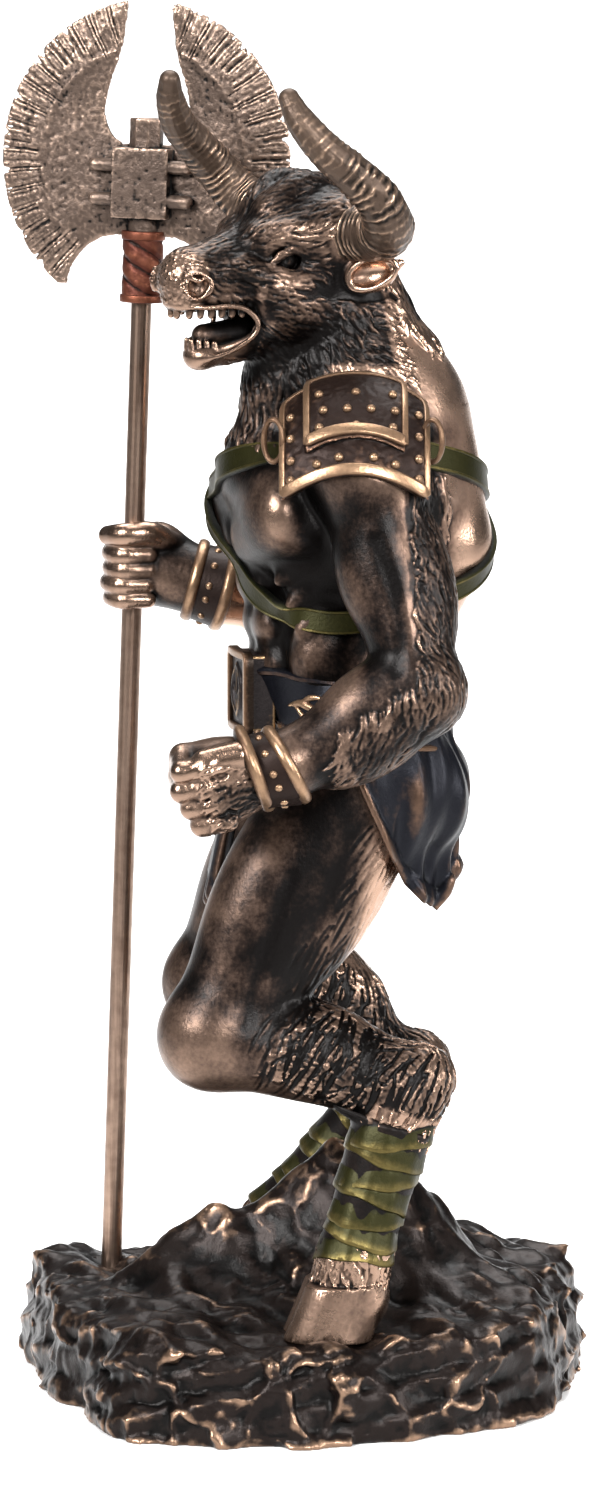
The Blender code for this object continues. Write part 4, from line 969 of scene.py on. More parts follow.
# Cloth, guard, rock and axe, as the solids are


# The height of the hem at each place from the side of the hip to the back
def skirtHem(y):
    return np.interp(y, (6, 9, 19, 26.0, 30.5, 40), (150, 138, 115.5, 108.5, 113.5, 112))


# How far a point is outside a shoulder plate's edges: front, back, lower and inner
def plateSide(front, back, foot, arch):
    def distance(x, y, z):
        middle = (front + back) / 2
        bottom = foot - arch * (y - middle) ** 2 - z
        edge = np.maximum(np.maximum(front - y, y - back), bottom)
        return np.maximum(edge, 19.5 - x + 0 * z)

    return distance


# The distance from an upright ellipsoid, nearly
def oval(centre, radii):
    def distance(x, y, z):
        parts = [(g - c) / r for g, c, r in zip((x, y, z), centre, radii)]
        first = np.sqrt(sum(p**2 for p in parts))
        second = np.sqrt(sum((p / r) ** 2 for p, r in zip(parts, radii))) + 1e-6
        return first * (first - 1) / second

    return distance


# The rock's outline at the table as it goes round from the left, and its hills
rockOutline = (
    (-49, -64), (-25, -62), (-9, -57), (5, -55.5), (16, -48), (33, -44), (42, -37), (47, -24),
    (48.5, -8),
    (47, 8), (42, 24), (33, 40), (23, 51), (8, 56.5), (-18, 60.5), (-40, 62.5), (-54, 49), (-60, 28),
    (-57, 2), (-61, -22), (-58, -46),
)
rockHills = (
    (-10, 14, 27.5, 14.5, 17),
    (-24, 8, 7, 9, 12),
    (-12, -14, 17, 8.5, 21),
    (-34, 29, 9, 14, 16),
    (-2, 36, 6, 14, 13),
)


def rockHeight(x, y):
    ground = soleLevel + 1.5 + 0.012 * (y + 20) + 2.2 * ripple(x, y, 0, 16, 3)
    for cx, cy, rise, wide, long in rockHills:
        away = ((x - cx) / wide) ** 2 + ((y - cy) / long) ** 2
        ground = ground + rise * np.exp(-(away**1.3))
    return ground + 1.2 * ripple(x, y, 0, 6, 4)


# The distance from a closed outline, negative inside it
def outlineSide(x, y, points):
    nearest = np.full(np.broadcast(x, y).shape, 1e6)
    inside = np.zeros(nearest.shape, bool)
    for (ax, ay), (bx, by) in zip(points, np.roll(points, -1, axis=0)):
        wx, wy = bx - ax, by - ay
        share = np.clip(((x - ax) * wx + (y - ay) * wy) / (wx**2 + wy**2), 0, 1)
        nearest = np.minimum(nearest, (x - ax - share * wx) ** 2 + (y - ay - share * wy) ** 2)
        crosses = (ay > y) != (by > y)
        inside ^= crosses & (x < ax + (y - ay) * wx / (wy if wy else 1e-9))
    return np.where(inside, -1, 1) * np.sqrt(nearest)


# One blade's outline, from the middle of the block
def bladeOutline():
    outline = []
    for angle in np.radians(np.linspace(93, 5, 13)):
        outline.append((5.0 + 12.4 * math.cos(angle), -24.0 + 12.4 * math.sin(angle)))
    for angle in np.radians(np.linspace(-52, 78, 60)):
        outline.append((-2.1 + 35.1 * math.cos(angle), 4.9 + 35.1 * math.sin(angle)))
    inner = ((5.0, 37.4), (6.3, 28.4), (8.9, 20.5), (9.6, 14.5), (7.9, 10.2), (5.4, 8.4))
    return np.array(outline + list(smoothPath(inner, 5)) + [(-1, 8.4), (-1, -11.6)])


# Materials


# A socket with sums and products as operators, so that shader maths reads as maths
class Wire:
    def __init__(self, paint, socket):
        self.paint = paint
        self.socket = socket

    def combine(self, operation, *others):
        return self.paint.node("ShaderNodeMath", {"operation": operation}, self, *others)

    def __add__(self, other):
        return self.combine("ADD", other)

    __radd__ = __add__

    def __mul__(self, other):
        return self.combine("MULTIPLY", other)

    __rmul__ = __mul__

    def __sub__(self, other):
        return self.combine("SUBTRACT", other)

    def __rsub__(self, other):
        return self.paint.node("ShaderNodeMath", {"operation": "SUBTRACT"}, other, self)

    # 0 below low, 1 above high, smooth between them
    def between(self, low, high):
        values = {"From Min": low, "From Max": high}
        return self.paint.node(
            "ShaderNodeMapRange", {"interpolation_type": "SMOOTHSTEP"}, Value=self, **values
        )

    # From one level to another as this goes from 0 to 1
    def span(self, low, high):
        return self * (high - low) + low


class Paint:
    def __init__(self, name):
        self.material = bpy.data.materials.new(name)
        self.material.use_nodes = True
        self.nodes = self.material.node_tree.nodes
        self.links = self.material.node_tree.links
        self.shader = self.nodes["Principled BSDF"]
        self.place = self.node("ShaderNodeTexCoord", out="Object")

    # Adds a node: its settings first, then its inputs in order or by name
    def node(self, kind, settings=None, *inputs, out=0, **named):
        made = self.nodes.new(kind)
        for key, value in (settings or {}).items():
            setattr(made, key, value)
        for key, value in list(enumerate(inputs)) + list(named.items()):
            self.feed(made.inputs[key], value)
        return Wire(self, made.outputs[out])

    def feed(self, socket, value):
        if isinstance(value, Wire):
            self.links.new(value.socket, socket)
        elif value is not None:
            socket.default_value = value

    def attribute(self, name):
        return self.node("ShaderNodeAttribute", {"attribute_name": name}, out="Fac")

    def noise(self, scale, detail, vector=None):
        values = {"Scale": scale, "Detail": detail, "Roughness": 0.55, "Distortion": 0.0}
        return self.node("ShaderNodeTexNoise", None, Vector=vector or self.place, **values, out="Fac")

    def stretched(self, x, y, z):
        return self.node("ShaderNodeVectorMath", {"operation": "MULTIPLY"}, self.place, (x, y, z))

    def mix(self, share, first, second):
        made = self.nodes.new("ShaderNodeMix")
        made.data_type = "RGBA"
        self.feed(made.inputs["Factor"], share)
        for socket, value in ((made.inputs[6], first), (made.inputs[7], second)):
            self.feed(socket, value if isinstance(value, Wire) else (*value, 1.0))
        return Wire(self, made.outputs[2])

    def bump(self, height, distance, strength=1.0):
        values = {"Height": height, "Distance": distance * mm, "Strength": strength}
        return self.node("ShaderNodeBump", None, **values, out="Normal")

    def finish(self, **inputs):
        for key, value in inputs.items():
            value = (*value, 1.0) if isinstance(value, tuple) else value
            self.feed(self.shader.inputs[key.replace("_", " ")], value)
        return self.material


# Cast bronze with a dark patina that is rubbed through on every ridge
# How far each of these decides what is worn
ridgeShare, cloudShare, speckShare, furShare = 0.85, 0.36, 0.14, 0.24
# In fur, how much less the broad form, the bright colour and the middle colour count
furFlat, furDull, furDark = 0.75, 0.48, 0.8
deepRange, metalRange, gritShare = (0.34, 0.50), (0.55, 1.0), 0.16


def bronzePaint(name, dark, middle, bright, rubbed, broad, gloss, pitting=0.10):
    paint = Paint(name)
    ridge, swell, fur = paint.attribute("ridge"), paint.attribute("swell"), paint.attribute("fur")
    clouds, specks = paint.noise(110, 4), paint.noise(1100, 3)
    worn = (ridge - 0.5) * ridgeShare + 0.5 + (swell - 0.5) * (1 - fur * furFlat) * broad
    worn = worn + (clouds - 0.5) * cloudShare + (specks - 0.5) * speckShare - fur * furShare
    rub = worn.between(*rubbed)
    base = paint.mix(worn.between(*deepRange) * (1 - fur * furDark), dark, middle)
    colour = paint.mix(rub * (1 - fur * furDull), base, bright)
    pits = paint.noise(1500, 2) + paint.noise(3200, 2) * 0.5
    return paint.finish(
        Base_Color=colour,
        Metallic=rub.span(*metalRange),
        Roughness=rub.span(*gloss) + (specks - 0.5) * gritShare,
        Specular_IOR_Level=0.18,
        Normal=paint.bump(pits, pitting, 0.55),
    )


skinBronze = bronzePaint(
    "skin_bronze", dark=(0.0022, 0.0015, 0.0013), middle=(0.078, 0.0465, 0.034),
    bright=(0.40, 0.262, 0.19), rubbed=(0.40, 0.76), broad=1.8, gloss=(0.36, 0.24),
)
rockBronze = bronzePaint(
    "rock_bronze", dark=(0.0018, 0.0013, 0.0011), middle=(0.0082, 0.0052, 0.0043),
    bright=(0.23, 0.145, 0.097), rubbed=(0.62, 0.92), broad=0.3, gloss=(0.36, 0.32),
)
bladeBronze = bronzePaint(
    "blade_bronze", dark=(0.005, 0.004, 0.0035), middle=(0.072, 0.050, 0.039),
    bright=(0.29, 0.204, 0.156), rubbed=(0.54, 0.84), broad=0.25, gloss=(0.42, 0.30), pitting=0.22,
)
goldTrim = bronzePaint(
    "gold_trim", dark=(0.010, 0.0055, 0.003), middle=(0.080, 0.044, 0.026),
    bright=(0.38, 0.24, 0.145), rubbed=(0.55, 0.90), broad=0.2, gloss=(0.38, 0.26),
)
darkLeather = bronzePaint(
    "dark_leather", dark=(0.003, 0.002, 0.0017), middle=(0.012, 0.0062, 0.0045),
    bright=(0.13, 0.073, 0.048), rubbed=(0.58, 0.84), broad=0.3, gloss=(0.45, 0.34),
)
greenStrap = bronzePaint(
    "green_strap", dark=(0.0014, 0.0015, 0.0006), middle=(0.0155, 0.0145, 0.0027),
    bright=(0.13, 0.098, 0.034), rubbed=(0.58, 0.90), broad=0.3, gloss=(0.42, 0.32),
)
blackCloth = bronzePaint(
    "black_cloth", dark=(0.0014, 0.0016, 0.0026), middle=(0.0055, 0.0058, 0.0085),
    bright=(0.11, 0.066, 0.045), rubbed=(0.62, 0.90), broad=0.3, gloss=(0.40, 0.34),
)
blackGold = bronzePaint(
    "black_and_gold", dark=(0.004, 0.004, 0.006), middle=(0.014, 0.011, 0.011),
    bright=(0.52, 0.32, 0.16), rubbed=(0.62, 0.84), broad=0.3, gloss=(0.42, 0.28),
)
hornBronze = bronzePaint(
    "horn_bronze", dark=(0.004, 0.003, 0.0022), middle=(0.060, 0.040, 0.029),
    bright=(0.35, 0.235, 0.165), rubbed=(0.52, 0.80), broad=0.3, gloss=(0.42, 0.28),
)
redWrap = bronzePaint(
    "red_wrap", dark=(0.008, 0.003, 0.002), middle=(0.060, 0.016, 0.0095),
    bright=(0.22, 0.08, 0.046), rubbed=(0.58, 0.88), broad=0.2, gloss=(0.48, 0.36),
)


# The clay for the whole body

bulgeCentre, bulgeRadii = (18, 10.5, 196), (23.4, 24.5, 26.4)
bulge = oval(bulgeCentre, bulgeRadii)
outerPlate = dict(front=-5.0, back=25.5, foot=204.6, arch=0.026)
innerPlate = dict(front=0.3, back=20.6, foot=211.8, arch=0.03)


# The shoulder is pressed in where the guard lies on it
def pressUnderGuard(clay):
    edge = plateSide(**outerPlate)

    def outsideBulge(x, y, z):
        return np.maximum(-(bulge(x, y, z) + 2.4), edge(x, y, z) + 0.8)

    clay.shape((19, -8, 194), (54, 30, 232), outsideBulge, 2.6, carve=True)


# Grooves and creases that are too fine for the solid
def modelSkinLines(clay):
    for side, s in sides.items():
        start, elbow = bone("shoulder", side), bone("elbow", side)
        upper = unitVector(elbow - start)
        front = unitVector(np.cross(upper, (s, 0, 0)) * s)
        front = front if front[1] < 0 else -front
        # the groove between biceps and triceps, and creases in the bend of the arm
        out = np.array((s, 0, 0.0))
        groove = [
            start + upper * t + out * 9.5 + front * w
            for t, w in ((16, 1.5), (26, 0.5), (36, 1.0), (43, 3.5))
        ]
        groove = clay.settle(groove, 1.15)
        clay.strand(
            smoothPath(np.column_stack([groove, np.full(len(groove), 0.6)]), 5), 2.4, carve=True
        )
        for shift in (-2.2, 0.4, 3.0):
            bend = elbow + front * 8 + (0, 0, 2.5 + shift)
            rows = [(*(bend + out * w + (0, 0, -0.4 * abs(w))), 0.35) for w in (-6, -2, 2, 6)]
            clay.tube(rows, 0.9, steps=3, carve=True)
    for side, s in sides.items():
        hip = bone("hip", side)
        thigh = unitVector(bone("knee", side) - hip)
        out = np.array((s, 0, 0.0))
        front = unitVector(np.cross(thigh, out) * s)
        front = front if front[1] < 0 else -front
        # the long muscles of the thigh
        for rows in (
            [(24, 15, 3.0), (36, 13.5, 1.0), (48, 11.8, -1.5), (56, 10.5, -4.0)],
            [(10, 16, -4.0), (26, 15, -7.0), (40, 12.6, -8.5), (52, 9.0, -9.5)],
        ):
            spots = np.array([hip + thigh * t + out * a + front * f for t, a, f in rows])
            spots = clay.settle(spots, 1.5)
            clay.strand(
                smoothPath(np.column_stack([spots, np.full(len(spots), 0.6)]), 6), 2.6, carve=True
            )


bodyClay = Clay((-54, -50, 128), (56, 46, 268), gridStep("upper"))
legClay = Clay((-48, -34, 17), (44, 44, 156), gridStep("lower"))
headClay = Clay((-26, -38, 212), (34, 44, 268), gridStep("head"))
waistClay = Clay((-44, -40, 98), (44, 58, 232), 0.8)
for clay in (bodyClay, legClay, headClay, waistClay):
    modelTorso(clay)
    modelNeck(clay)
for clay in (bodyClay, legClay, waistClay):
    for side in sides:
        modelLeg(clay, side)
for side in sides:
    modelArm(bodyClay, side)
modelSkinLines(bodyClay)
modelSkinLines(legClay)
pressUnderGuard(bodyClay)
modelHoof(legClay, "left")
modelHoof(legClay, "right")
modelLeftFist(bodyClay)
modelRightFist(bodyClay)
for clay in (bodyClay, headClay):
    modelHead(clay)
print("body modelled")


# Paths of the things that are worn, taken before the fur is laid


def bandFrames(clay, path):
    ahead = np.roll(path, -1, 0) - np.roll(path, 1, 0)
    ahead /= np.linalg.norm(ahead, axis=1)[:, None]
    out = clay.read(path)[1]
    for _ in range(6):
        out = (np.roll(out, 1, 0) + 2 * out + np.roll(out, -1, 0)) / 4
    across = np.cross(ahead, out)
    across /= np.linalg.norm(across, axis=1)[:, None]
    out = np.cross(across, ahead)
    return path, across, out


def wornLoop(clay, centre, axis, height=0.0, waves=4, count=120, most=45.0):
    return bandFrames(clay, loopAround(clay, centre, axis, count, most, height, waves))


strapLoops = [
    wornLoop(waistClay, (0, 8, 199 - 0.04 * 8), (-0.38, 0.04, 1), waves=10),
    wornLoop(waistClay, (0, 8, 188 + 0.08 * 8), (0.766, -0.08, 1), waves=6),
]
beltLoop = wornLoop(waistClay, (0, 9, 151.6), (0, 0.2, 1), height=0.2, waves=4)
ringDistances = (-6.4, 0.2)  # from the wrist towards the elbow


def bracerLoop(side, distance):
    wrist, elbow = bone("wrist", side), bone("elbow", side)
    way = unitVector(elbow - wrist)
    if distance < 0:
        way = unitVector(way + unitVector(wrist - bone("fist", side)))
    return wornLoop(bodyClay, wrist + way * distance, way, height=0.15, waves=2, count=96, most=14.0)


wrapTurns, wrapLiners = [], []
wrapPull = np.random.default_rng(41)
for side in sides:
    hock, fetlock = bone("hock", side), bone("fetlock", side)
    length = np.linalg.norm(fetlock - hock)
    way = (fetlock - hock) / length
    turns = 7
    for turn in range(turns):
        middle = hock + way * (10.5 + (length - 11.5) * turn / (turns - 1))
        tilt = np.array(
            (0.10 * wrapPull.normal(), 0.10 + 0.16 * (-1) ** turn + 0.05 * wrapPull.normal(), 0)
        )
        wrapTurns.append(
            (side, turn, wornLoop(legClay, middle, way + tilt, waves=5, count=96, most=16.0))
        )
    liner = []
    for share in np.linspace(8.8 / length, 1.0, 26):
        liner.append(loopAround(legClay, hock + (fetlock - hock) * share, way, 96, 16.0, 0.2, 5))
    wrapLiners.append((side, np.array(liner)))
print("straps and wraps measured")


# Where each coat of fur grows, and the way it lies


def ragged(points, size, seed):
    return size * grain(points, 4.0, seed)


def onHead(points):
    f, l, u = head.local(points).T
    l = np.abs(l)
    eye = np.linalg.norm(np.column_stack([f - 12.6, l - 9.4, (u - 0.6) * 1.1]), axis=1)
    mouth = (f > 17.2) & (u < -7.6) & (u > -20.4)
    chin = (f > 24) & (u < -7.6)
    nostril = np.linalg.norm(np.column_stack([f - 33.4, l - 7.4, u + 4.3]), axis=1) < 4.6
    nose = (f > 33.5 + 0.3 * np.clip(u, -4, 4) + ragged(points, 1.0, 3)) | nostril
    ear = (l > 12.6) & (np.abs(u + 1.5) < 6.5)
    inside = (f > -9) & (l < 26) & (u > -24)
    return inside & (eye > 3.5) & ~mouth & ~chin & ~nose & ~ear


def headFlow(points):
    f, l, u = head.local(points).T
    side = np.sign(l)
    rise = np.interp(u, (-24, -8, 2, 9, 16), (-0.9, -0.35, 0.0, 0.55, 0.35))
    spread = np.where(u > 8, 0.55, 0.15) * side
    return np.column_stack([-np.ones(len(f)), spread, rise]) @ head.axes.T


def onMane(points):
    x, y, z = points.T
    f, l, u = head.local(points).T
    gap = alongBone(points, head.at(-3, 0, -2), torso.at(2, 0, 8))[1]
    low = np.interp(y, (-14, -4, 8, 22, 30), (212, 213, 215, 224, 236)) + ragged(points, 3.0, 5)
    behind = (f < 1.5 + ragged(points, 2.5, 6)) | (u < -13 - 0.9 * np.clip(f - 2, 0, 30))
    ear = (np.abs(l) > 12.6) & (np.abs(u + 1.5) < 6.5)
    return (z > low) & behind & (gap < 27) & (np.abs(l) < 15.5) & (np.abs(x - 1) < 24) & (u < 15) & ~ear


def maneFlow(points):
    x, y, z = points.T
    back = np.interp(z, (205, 225, 250), (0.15, 0.5, 0.9)) * np.where(y < -4, 0.3, 1.0)
    return np.column_stack([0.22 * np.sign(x - 1) + 0 * x, back, -np.ones(len(x))])


def onArm(side):
    start, elbow, wrist = (bone(n, side) for n in ("shoulder", "elbow", "wrist"))

    def where(points):
        share, gap = alongBone(points, start, elbow)
        line = start + share[:, None] * (elbow - start)
        behind = points[:, 1] - line[:, 1] > 8.5 - 9.5 * share + ragged(points, 2.0, 8)
        upper = (share > 0.12) & (share < 1.12) & behind & (gap < 18)
        upper &= (points[:, 0] - line[:, 0]) * sides[side] > -8
        along, away = alongBone(points, elbow, wrist)
        axis = elbow + along[:, None] * (wrist - elbow)
        below = points[:, 2] - axis[:, 2] < 3.0 - 3.2 * along + ragged(points, 1.6, 9)
        lower = (along > -0.25) & (along < 0.66) & (away < 15) & below
        owned = armCut(*points.T, side) < 0.5
        return (upper | lower) & owned

    return where


def armFlow(side):
    elbow, wrist = bone("elbow", side), bone("wrist", side)

    def way(points):
        ahead = np.clip(alongBone(points, elbow, wrist)[0], 0, 1)
        z = points[:, 2] - elbow[2]
        onUpper = np.clip(z / 8, 0, 1)
        y = 0.45 * onUpper + (1 - onUpper) * (0.05 - 0.75 * ahead)
        return np.column_stack([0.15 * sides[side] + 0 * y, y, -np.ones(len(y))])

    return way


def onFistBack(points):
    wrist, fist = bone("wrist", "left"), bone("fist", "left")
    share, gap = alongBone(points, wrist, fist)
    outer = points[:, 0] > wrist[0] + 1.5 + ragged(points, 1.5, 4)
    within = (share > 0.05) & (share < 1.1 + ragged(points, 0.15, 2))
    return within & outer & (gap < 14) & (points[:, 2] < 145)


def onShank(side):
    knee, hock, fetlock = (bone(n, side) for n in ("knee", "hock", "fetlock"))

    def where(points):
        share, gap = alongBone(points, knee, hock)
        lift = points[:, 2] - (knee + share[:, None] * (hock - knee))[:, 2]
        first = 0.24 + 0.012 * lift + ragged(points, 0.07, 7)
        shank = (share > first) & (gap < 17) & (points[:, 2] < 97 - 12 * share)
        down = alongBone(points, hock, fetlock)[0]
        top = 8.0 / np.linalg.norm(fetlock - hock)
        return shank & (down < top) & ((points[:, 0] > -3) == (side == "left"))

    return where


def shankFlow(side):
    hock = bone("hock", side)

    def way(points):
        near = np.clip((points[:, 1] - hock[1] + 9) / 12, 0, 1)
        y = 0.95 - 0.85 * near
        return np.column_stack([0.1 * sides[side] + 0 * y, y, -0.5 - 0.6 * near])

    return way


def onFetlock(points):
    total = np.zeros(len(points), bool)
    for side in sides:
        fetlock = bone("fetlock", side)
        gap = np.linalg.norm(points[:, :2] - fetlock[:2], axis=1)
        total |= (points[:, 2] > soleLevel + 14.6) & (points[:, 2] < fetlock[2] + 3) & (gap < 19)
    return total


def fetlockFlow(points):
    middle = np.where(
        points[:, :1] > 0, bone("fetlock", "left")[None, :2], bone("fetlock", "right")[None, :2]
    )
    away = points[:, :2] - middle
    away = away / (np.linalg.norm(away, axis=1)[:, None] + 1e-6)
    return np.column_stack([0.12 * away, -np.ones(len(points))])


def onThighBack(side):
    hip, knee = bone("hip", side), bone("knee", side)

    def where(points):
        share = alongBone(points, hip, knee)[0]
        line = hip + share[:, None] * (knee - hip)
        past = points[:, 1] - line[:, 1] + 0.4 * (line[:, 2] - points[:, 2])
        behind = past > 10 + ragged(points, 4.0, 14)
        return (share > 0.1) & (share < 1.0) & behind & ((points[:, 0] > 0) == (side == "left"))

    return where


def thighFlow(side):
    way = unitVector(bone("knee", side) - bone("hip", side))
    return lambda points: np.repeat(way[None], len(points), 0)


upperCoats = [
    dict(
        where=onMane, way=maneFlow, length=8.5, radius=0.72, spacing=2.7, curl=34, steps=6,
        rise=(-0.7, 0.1, 0.45, 0.1), blend=0.5,
    ),
    dict(
        where=onMane, way=maneFlow, length=6.5, radius=0.38, spacing=1.2, curl=38,
        rise=(-0.2, 0.25, 0.5, 0.15),
    ),
    dict(
        where=onHead, way=headFlow, length=3.8, radius=0.30, spacing=0.85, curl=22,
        rise=(-0.2, -0.02, 0.18, 0.03),
    ),
    dict(
        where=onArm("left"), way=armFlow("left"), length=6.5, radius=0.38, spacing=1.12, curl=30,
        rise=(-0.35, 0.08, 0.35, 0.1),
    ),
    dict(
        where=onArm("right"), way=armFlow("right"), length=6.5, radius=0.38, spacing=1.12, curl=30,
        rise=(-0.35, 0.08, 0.35, 0.1),
    ),
    dict(
        where=onFistBack, way=lambda p: np.tile((0.0, -0.8, -0.5), (len(p), 1)), length=4.5,
        radius=0.36, spacing=1.2, curl=50, rise=(-0.25, 0.05, 0.28, 0.05),
    ),
]
lowerCoats = []
for side in sides:
    lowerCoats.append(
        dict(
            where=onShank(side), way=shankFlow(side), length=6.8, radius=0.38, spacing=1.12, curl=20,
            rise=(-0.3, 0.05, 0.3, 0.05),
        ),
    )
    lowerCoats.append(
        dict(
            where=onThighBack(side), way=thighFlow(side), length=10.0, radius=0.42, spacing=2.8,
            curl=7, rise=(0.3, 0.16, 0.16, 0.2), carve=True, blend=0.3,
        ),
    )
lowerCoats.append(
    dict(
        where=onFetlock, way=fetlockFlow, length=4.4, radius=0.38, spacing=1.2, curl=24,
        rise=(-0.4, 0.1, 0.35, 0.3),
    ),
)


# The bare nose is pebbled
def noseRelief(points):
    f, _, u = head.local(points).T
    bare = np.clip((f - 30.5) / 2.5, 0, 1) * (u > -9)
    near, far = pips(points, 1.15, 91)
    return bare * (0.28 * np.clip((far - near) / 0.6, 0, 1) - 0.2)


for clay in (bodyClay, headClay):
    clay.emboss(noseRelief, 1.0)
layFur([bodyClay, headClay], upperCoats, 101)
layFur([legClay], lowerCoats, 202)


# The body's pieces


def torsoLimit(x, y, z):
    arms = np.maximum(-armCut(x, y, z, "left"), -armCut(x, y, z, "right"))
    return np.maximum(arms, np.maximum(-neckCut(x, y, z), -waistCut(x, y, z)))


# 1 where fur grows, for the materials
def furred(points):
    total = np.zeros(len(points))
    shifts = np.random.default_rng(77).normal(0, 1.6, (7, 3))
    for shift in shifts:
        grown = np.zeros(len(points), bool)
        for coat in upperCoats + lowerCoats:
            if not coat.get("carve"):
                grown |= coat["where"](points + shift)
        total += grown
    return total / len(shifts)


# The muzzle and the fists count as partly furred, so they come out darker and less rubbed than the muscles
def dulledParts(points):
    muzzle = np.clip(head.local(points)[:, 0] / 6, 0, 1)
    near = [np.linalg.norm(points - bone("fist", side), axis=1) for side in sides]
    return 0.8 * np.maximum(muzzle, np.clip((19 - np.minimum(*near)) / 5, 0, 1))


def bodyPiece(name, source, kind, low, high, limit, swellReach=8.0):
    part = source.portion(low, high, limit)

    def dull(points):
        return np.maximum(furred(points), dulledParts(points))

    piece = castPiece(
        name, part, kind, skinBronze, source=source, broadReach=swellReach, relief={"fur": dull}
    )
    castOn(piece)


bodyPiece("head", headClay, "head", (-26, -38, 212), (34, 44, 268), neckCut)
bodyPiece("torso", bodyClay, "upper", (-40, -34, 148), (42, 46, 232), torsoLimit)
armBoxes = {"left": ((16, -34, 128), (56, 40, 224)), "right": ((-54, -50, 128), (-14, 36, 224))}
legBoxes = {"left": ((-3, -34, 17), (44, 44, 156)), "right": ((-48, -34, 17), (3, 44, 156))}
for side, s in sides.items():
    bodyPiece(f"{side}_arm", bodyClay, "arm", *armBoxes[side], lambda x, y, z: armCut(x, y, z, side))
    bodyPiece(
        f"{side}_leg", legClay, "lower", *legBoxes[side], lambda x, y,
        z: np.maximum(waistCut(x, y, z), 0.5 - s * x + 0 * y + 0 * z), swellReach=13.0,
    )


# Horns


# A horn's section swells at each growth ring, and the rings are broken and uneven
def makeHorn(name, s):
    path = smoothPath(hornPath(s), 26)
    spots, radii = path[:, :3], path[:, 3]
    ways = np.gradient(spots, axis=0)
    ways /= np.linalg.norm(ways, axis=1)[:, None]
    travelled = np.concatenate([[0], np.cumsum(np.linalg.norm(np.diff(spots, axis=0), axis=1))])
    whole = travelled[-1]
    side = unitVector(np.cross(ways[0], head.way(0, 0, 1)))
    rng = np.random.default_rng(31 + s)
    rings = np.arange(3, whole * 0.97, 1.75)
    rings = rings + rng.normal(0, 0.26, len(rings))
    around, rows = 72, []
    turns = 2 * math.pi * np.arange(around) / around
    for spot, way, radius, far in zip(spots, ways, radii, travelled):
        side = unitVector(side - way * (side @ way))
        over = np.cross(way, side)
        ray = np.cos(turns)[:, None] * side + np.sin(turns)[:, None] * over
        shift = 0.36 * grain(ray * 3 + spot * 0.35, 1.3, 5) + 0.2 * grain(ray * 7 + spot * 0.3, 1.1, 6)
        gap = np.abs(far + shift[:, None] - rings[None]).min(1)
        worn = np.clip(0.55 + 1.5 * grain(ray * 4 + spot, 2.2, 8), 0.12, 1)
        fade = np.clip((whole - far) / (whole * 0.5), 0.35, 1)
        ring = 0.40 * worn * fade * np.exp(-((gap / 0.36) ** 2))
        streak = 0.12 * grain(ray * radius * 2.6, 1.0, 12)
        rows.append(spot + ray * (radius - 0.30 * fade + ring + streak)[:, None])
    # a round tip
    last, way, radius = spots[-1], ways[-1], radii[-1] - 0.1
    side = unitVector(side - way * (side @ way))
    over = np.cross(way, side)
    for k in range(1, 9):
        angle = math.pi / 2 * k / 8.4
        ray = np.cos(turns)[:, None] * side + np.sin(turns)[:, None] * over
        rows.append(last + way * radius * 0.95 * math.sin(angle) + ray * radius * math.cos(angle))
    rows = np.array(rows)
    piece = tubeMesh(name, rows, hornBronze)
    points = rows.reshape(-1, 3)
    middle = rows.mean(1, keepdims=True)
    bulk = np.linalg.norm(rows - middle, axis=2)
    smooth = bulk.copy()
    for _ in range(14):
        smooth[1:-1] = (smooth[:-2] + 2 * smooth[1:-1] + smooth[2:]) / 4
    ridge = np.clip(0.52 + (bulk - smooth) * 1.7, 0, 1)
    ridge[:3], ridge[-12:] = 0.5, 0.56
    setAttribute(piece, "ridge", ridge.ravel())
    setAttribute(piece, "swell", np.full(len(points), 0.5))
    return piece


for side, s in sides.items():
    castOn(makeHorn(f"{side}_horn", s))
print("horns made")


# What it wears: straps, belt, bracers and leg wraps

strapProfile = [
    (-3.0, -0.8), (-3.0, 0.75), (-2.8, 1.0), (-2.35, 1.0), (-2.2, 0.8), (2.2, 0.8), (2.35, 1.0),
    (2.8, 1.0), (3.0, 0.75), (3.0, -0.8),
]
for index, (loop, share) in enumerate(zip(strapLoops, (1.0, 0.82))):
    castBand(f"strap_{index + 1}", loop, [(u * share, v) for u, v in strapProfile], greenStrap)
beltProfile = [
    (-6.6, -1.2), (-6.6, 1.0), (-6.3, 1.45), (-5.6, 1.5), (-5.3, 1.1), (5.3, 1.1), (5.6, 1.5),
    (6.3, 1.45), (6.6, 1.0), (6.6, -1.2),
]
path, across, out = beltLoop
castBand("belt", beltLoop, beltProfile, blackCloth)
down = 1 if across[0][2] < 0 else -1
pipingProfile = [(0.62 * math.cos(a), 0.55 * math.sin(a)) for a in np.linspace(0, 2 * math.pi, 9)[:-1]]
piping = sweep(
    "belt_piping", path + across * 6.5 * down + out * 1.3, across, out, pipingProfile, goldTrim
)
flatRelief(piping, 0.6)
castOn(piping)
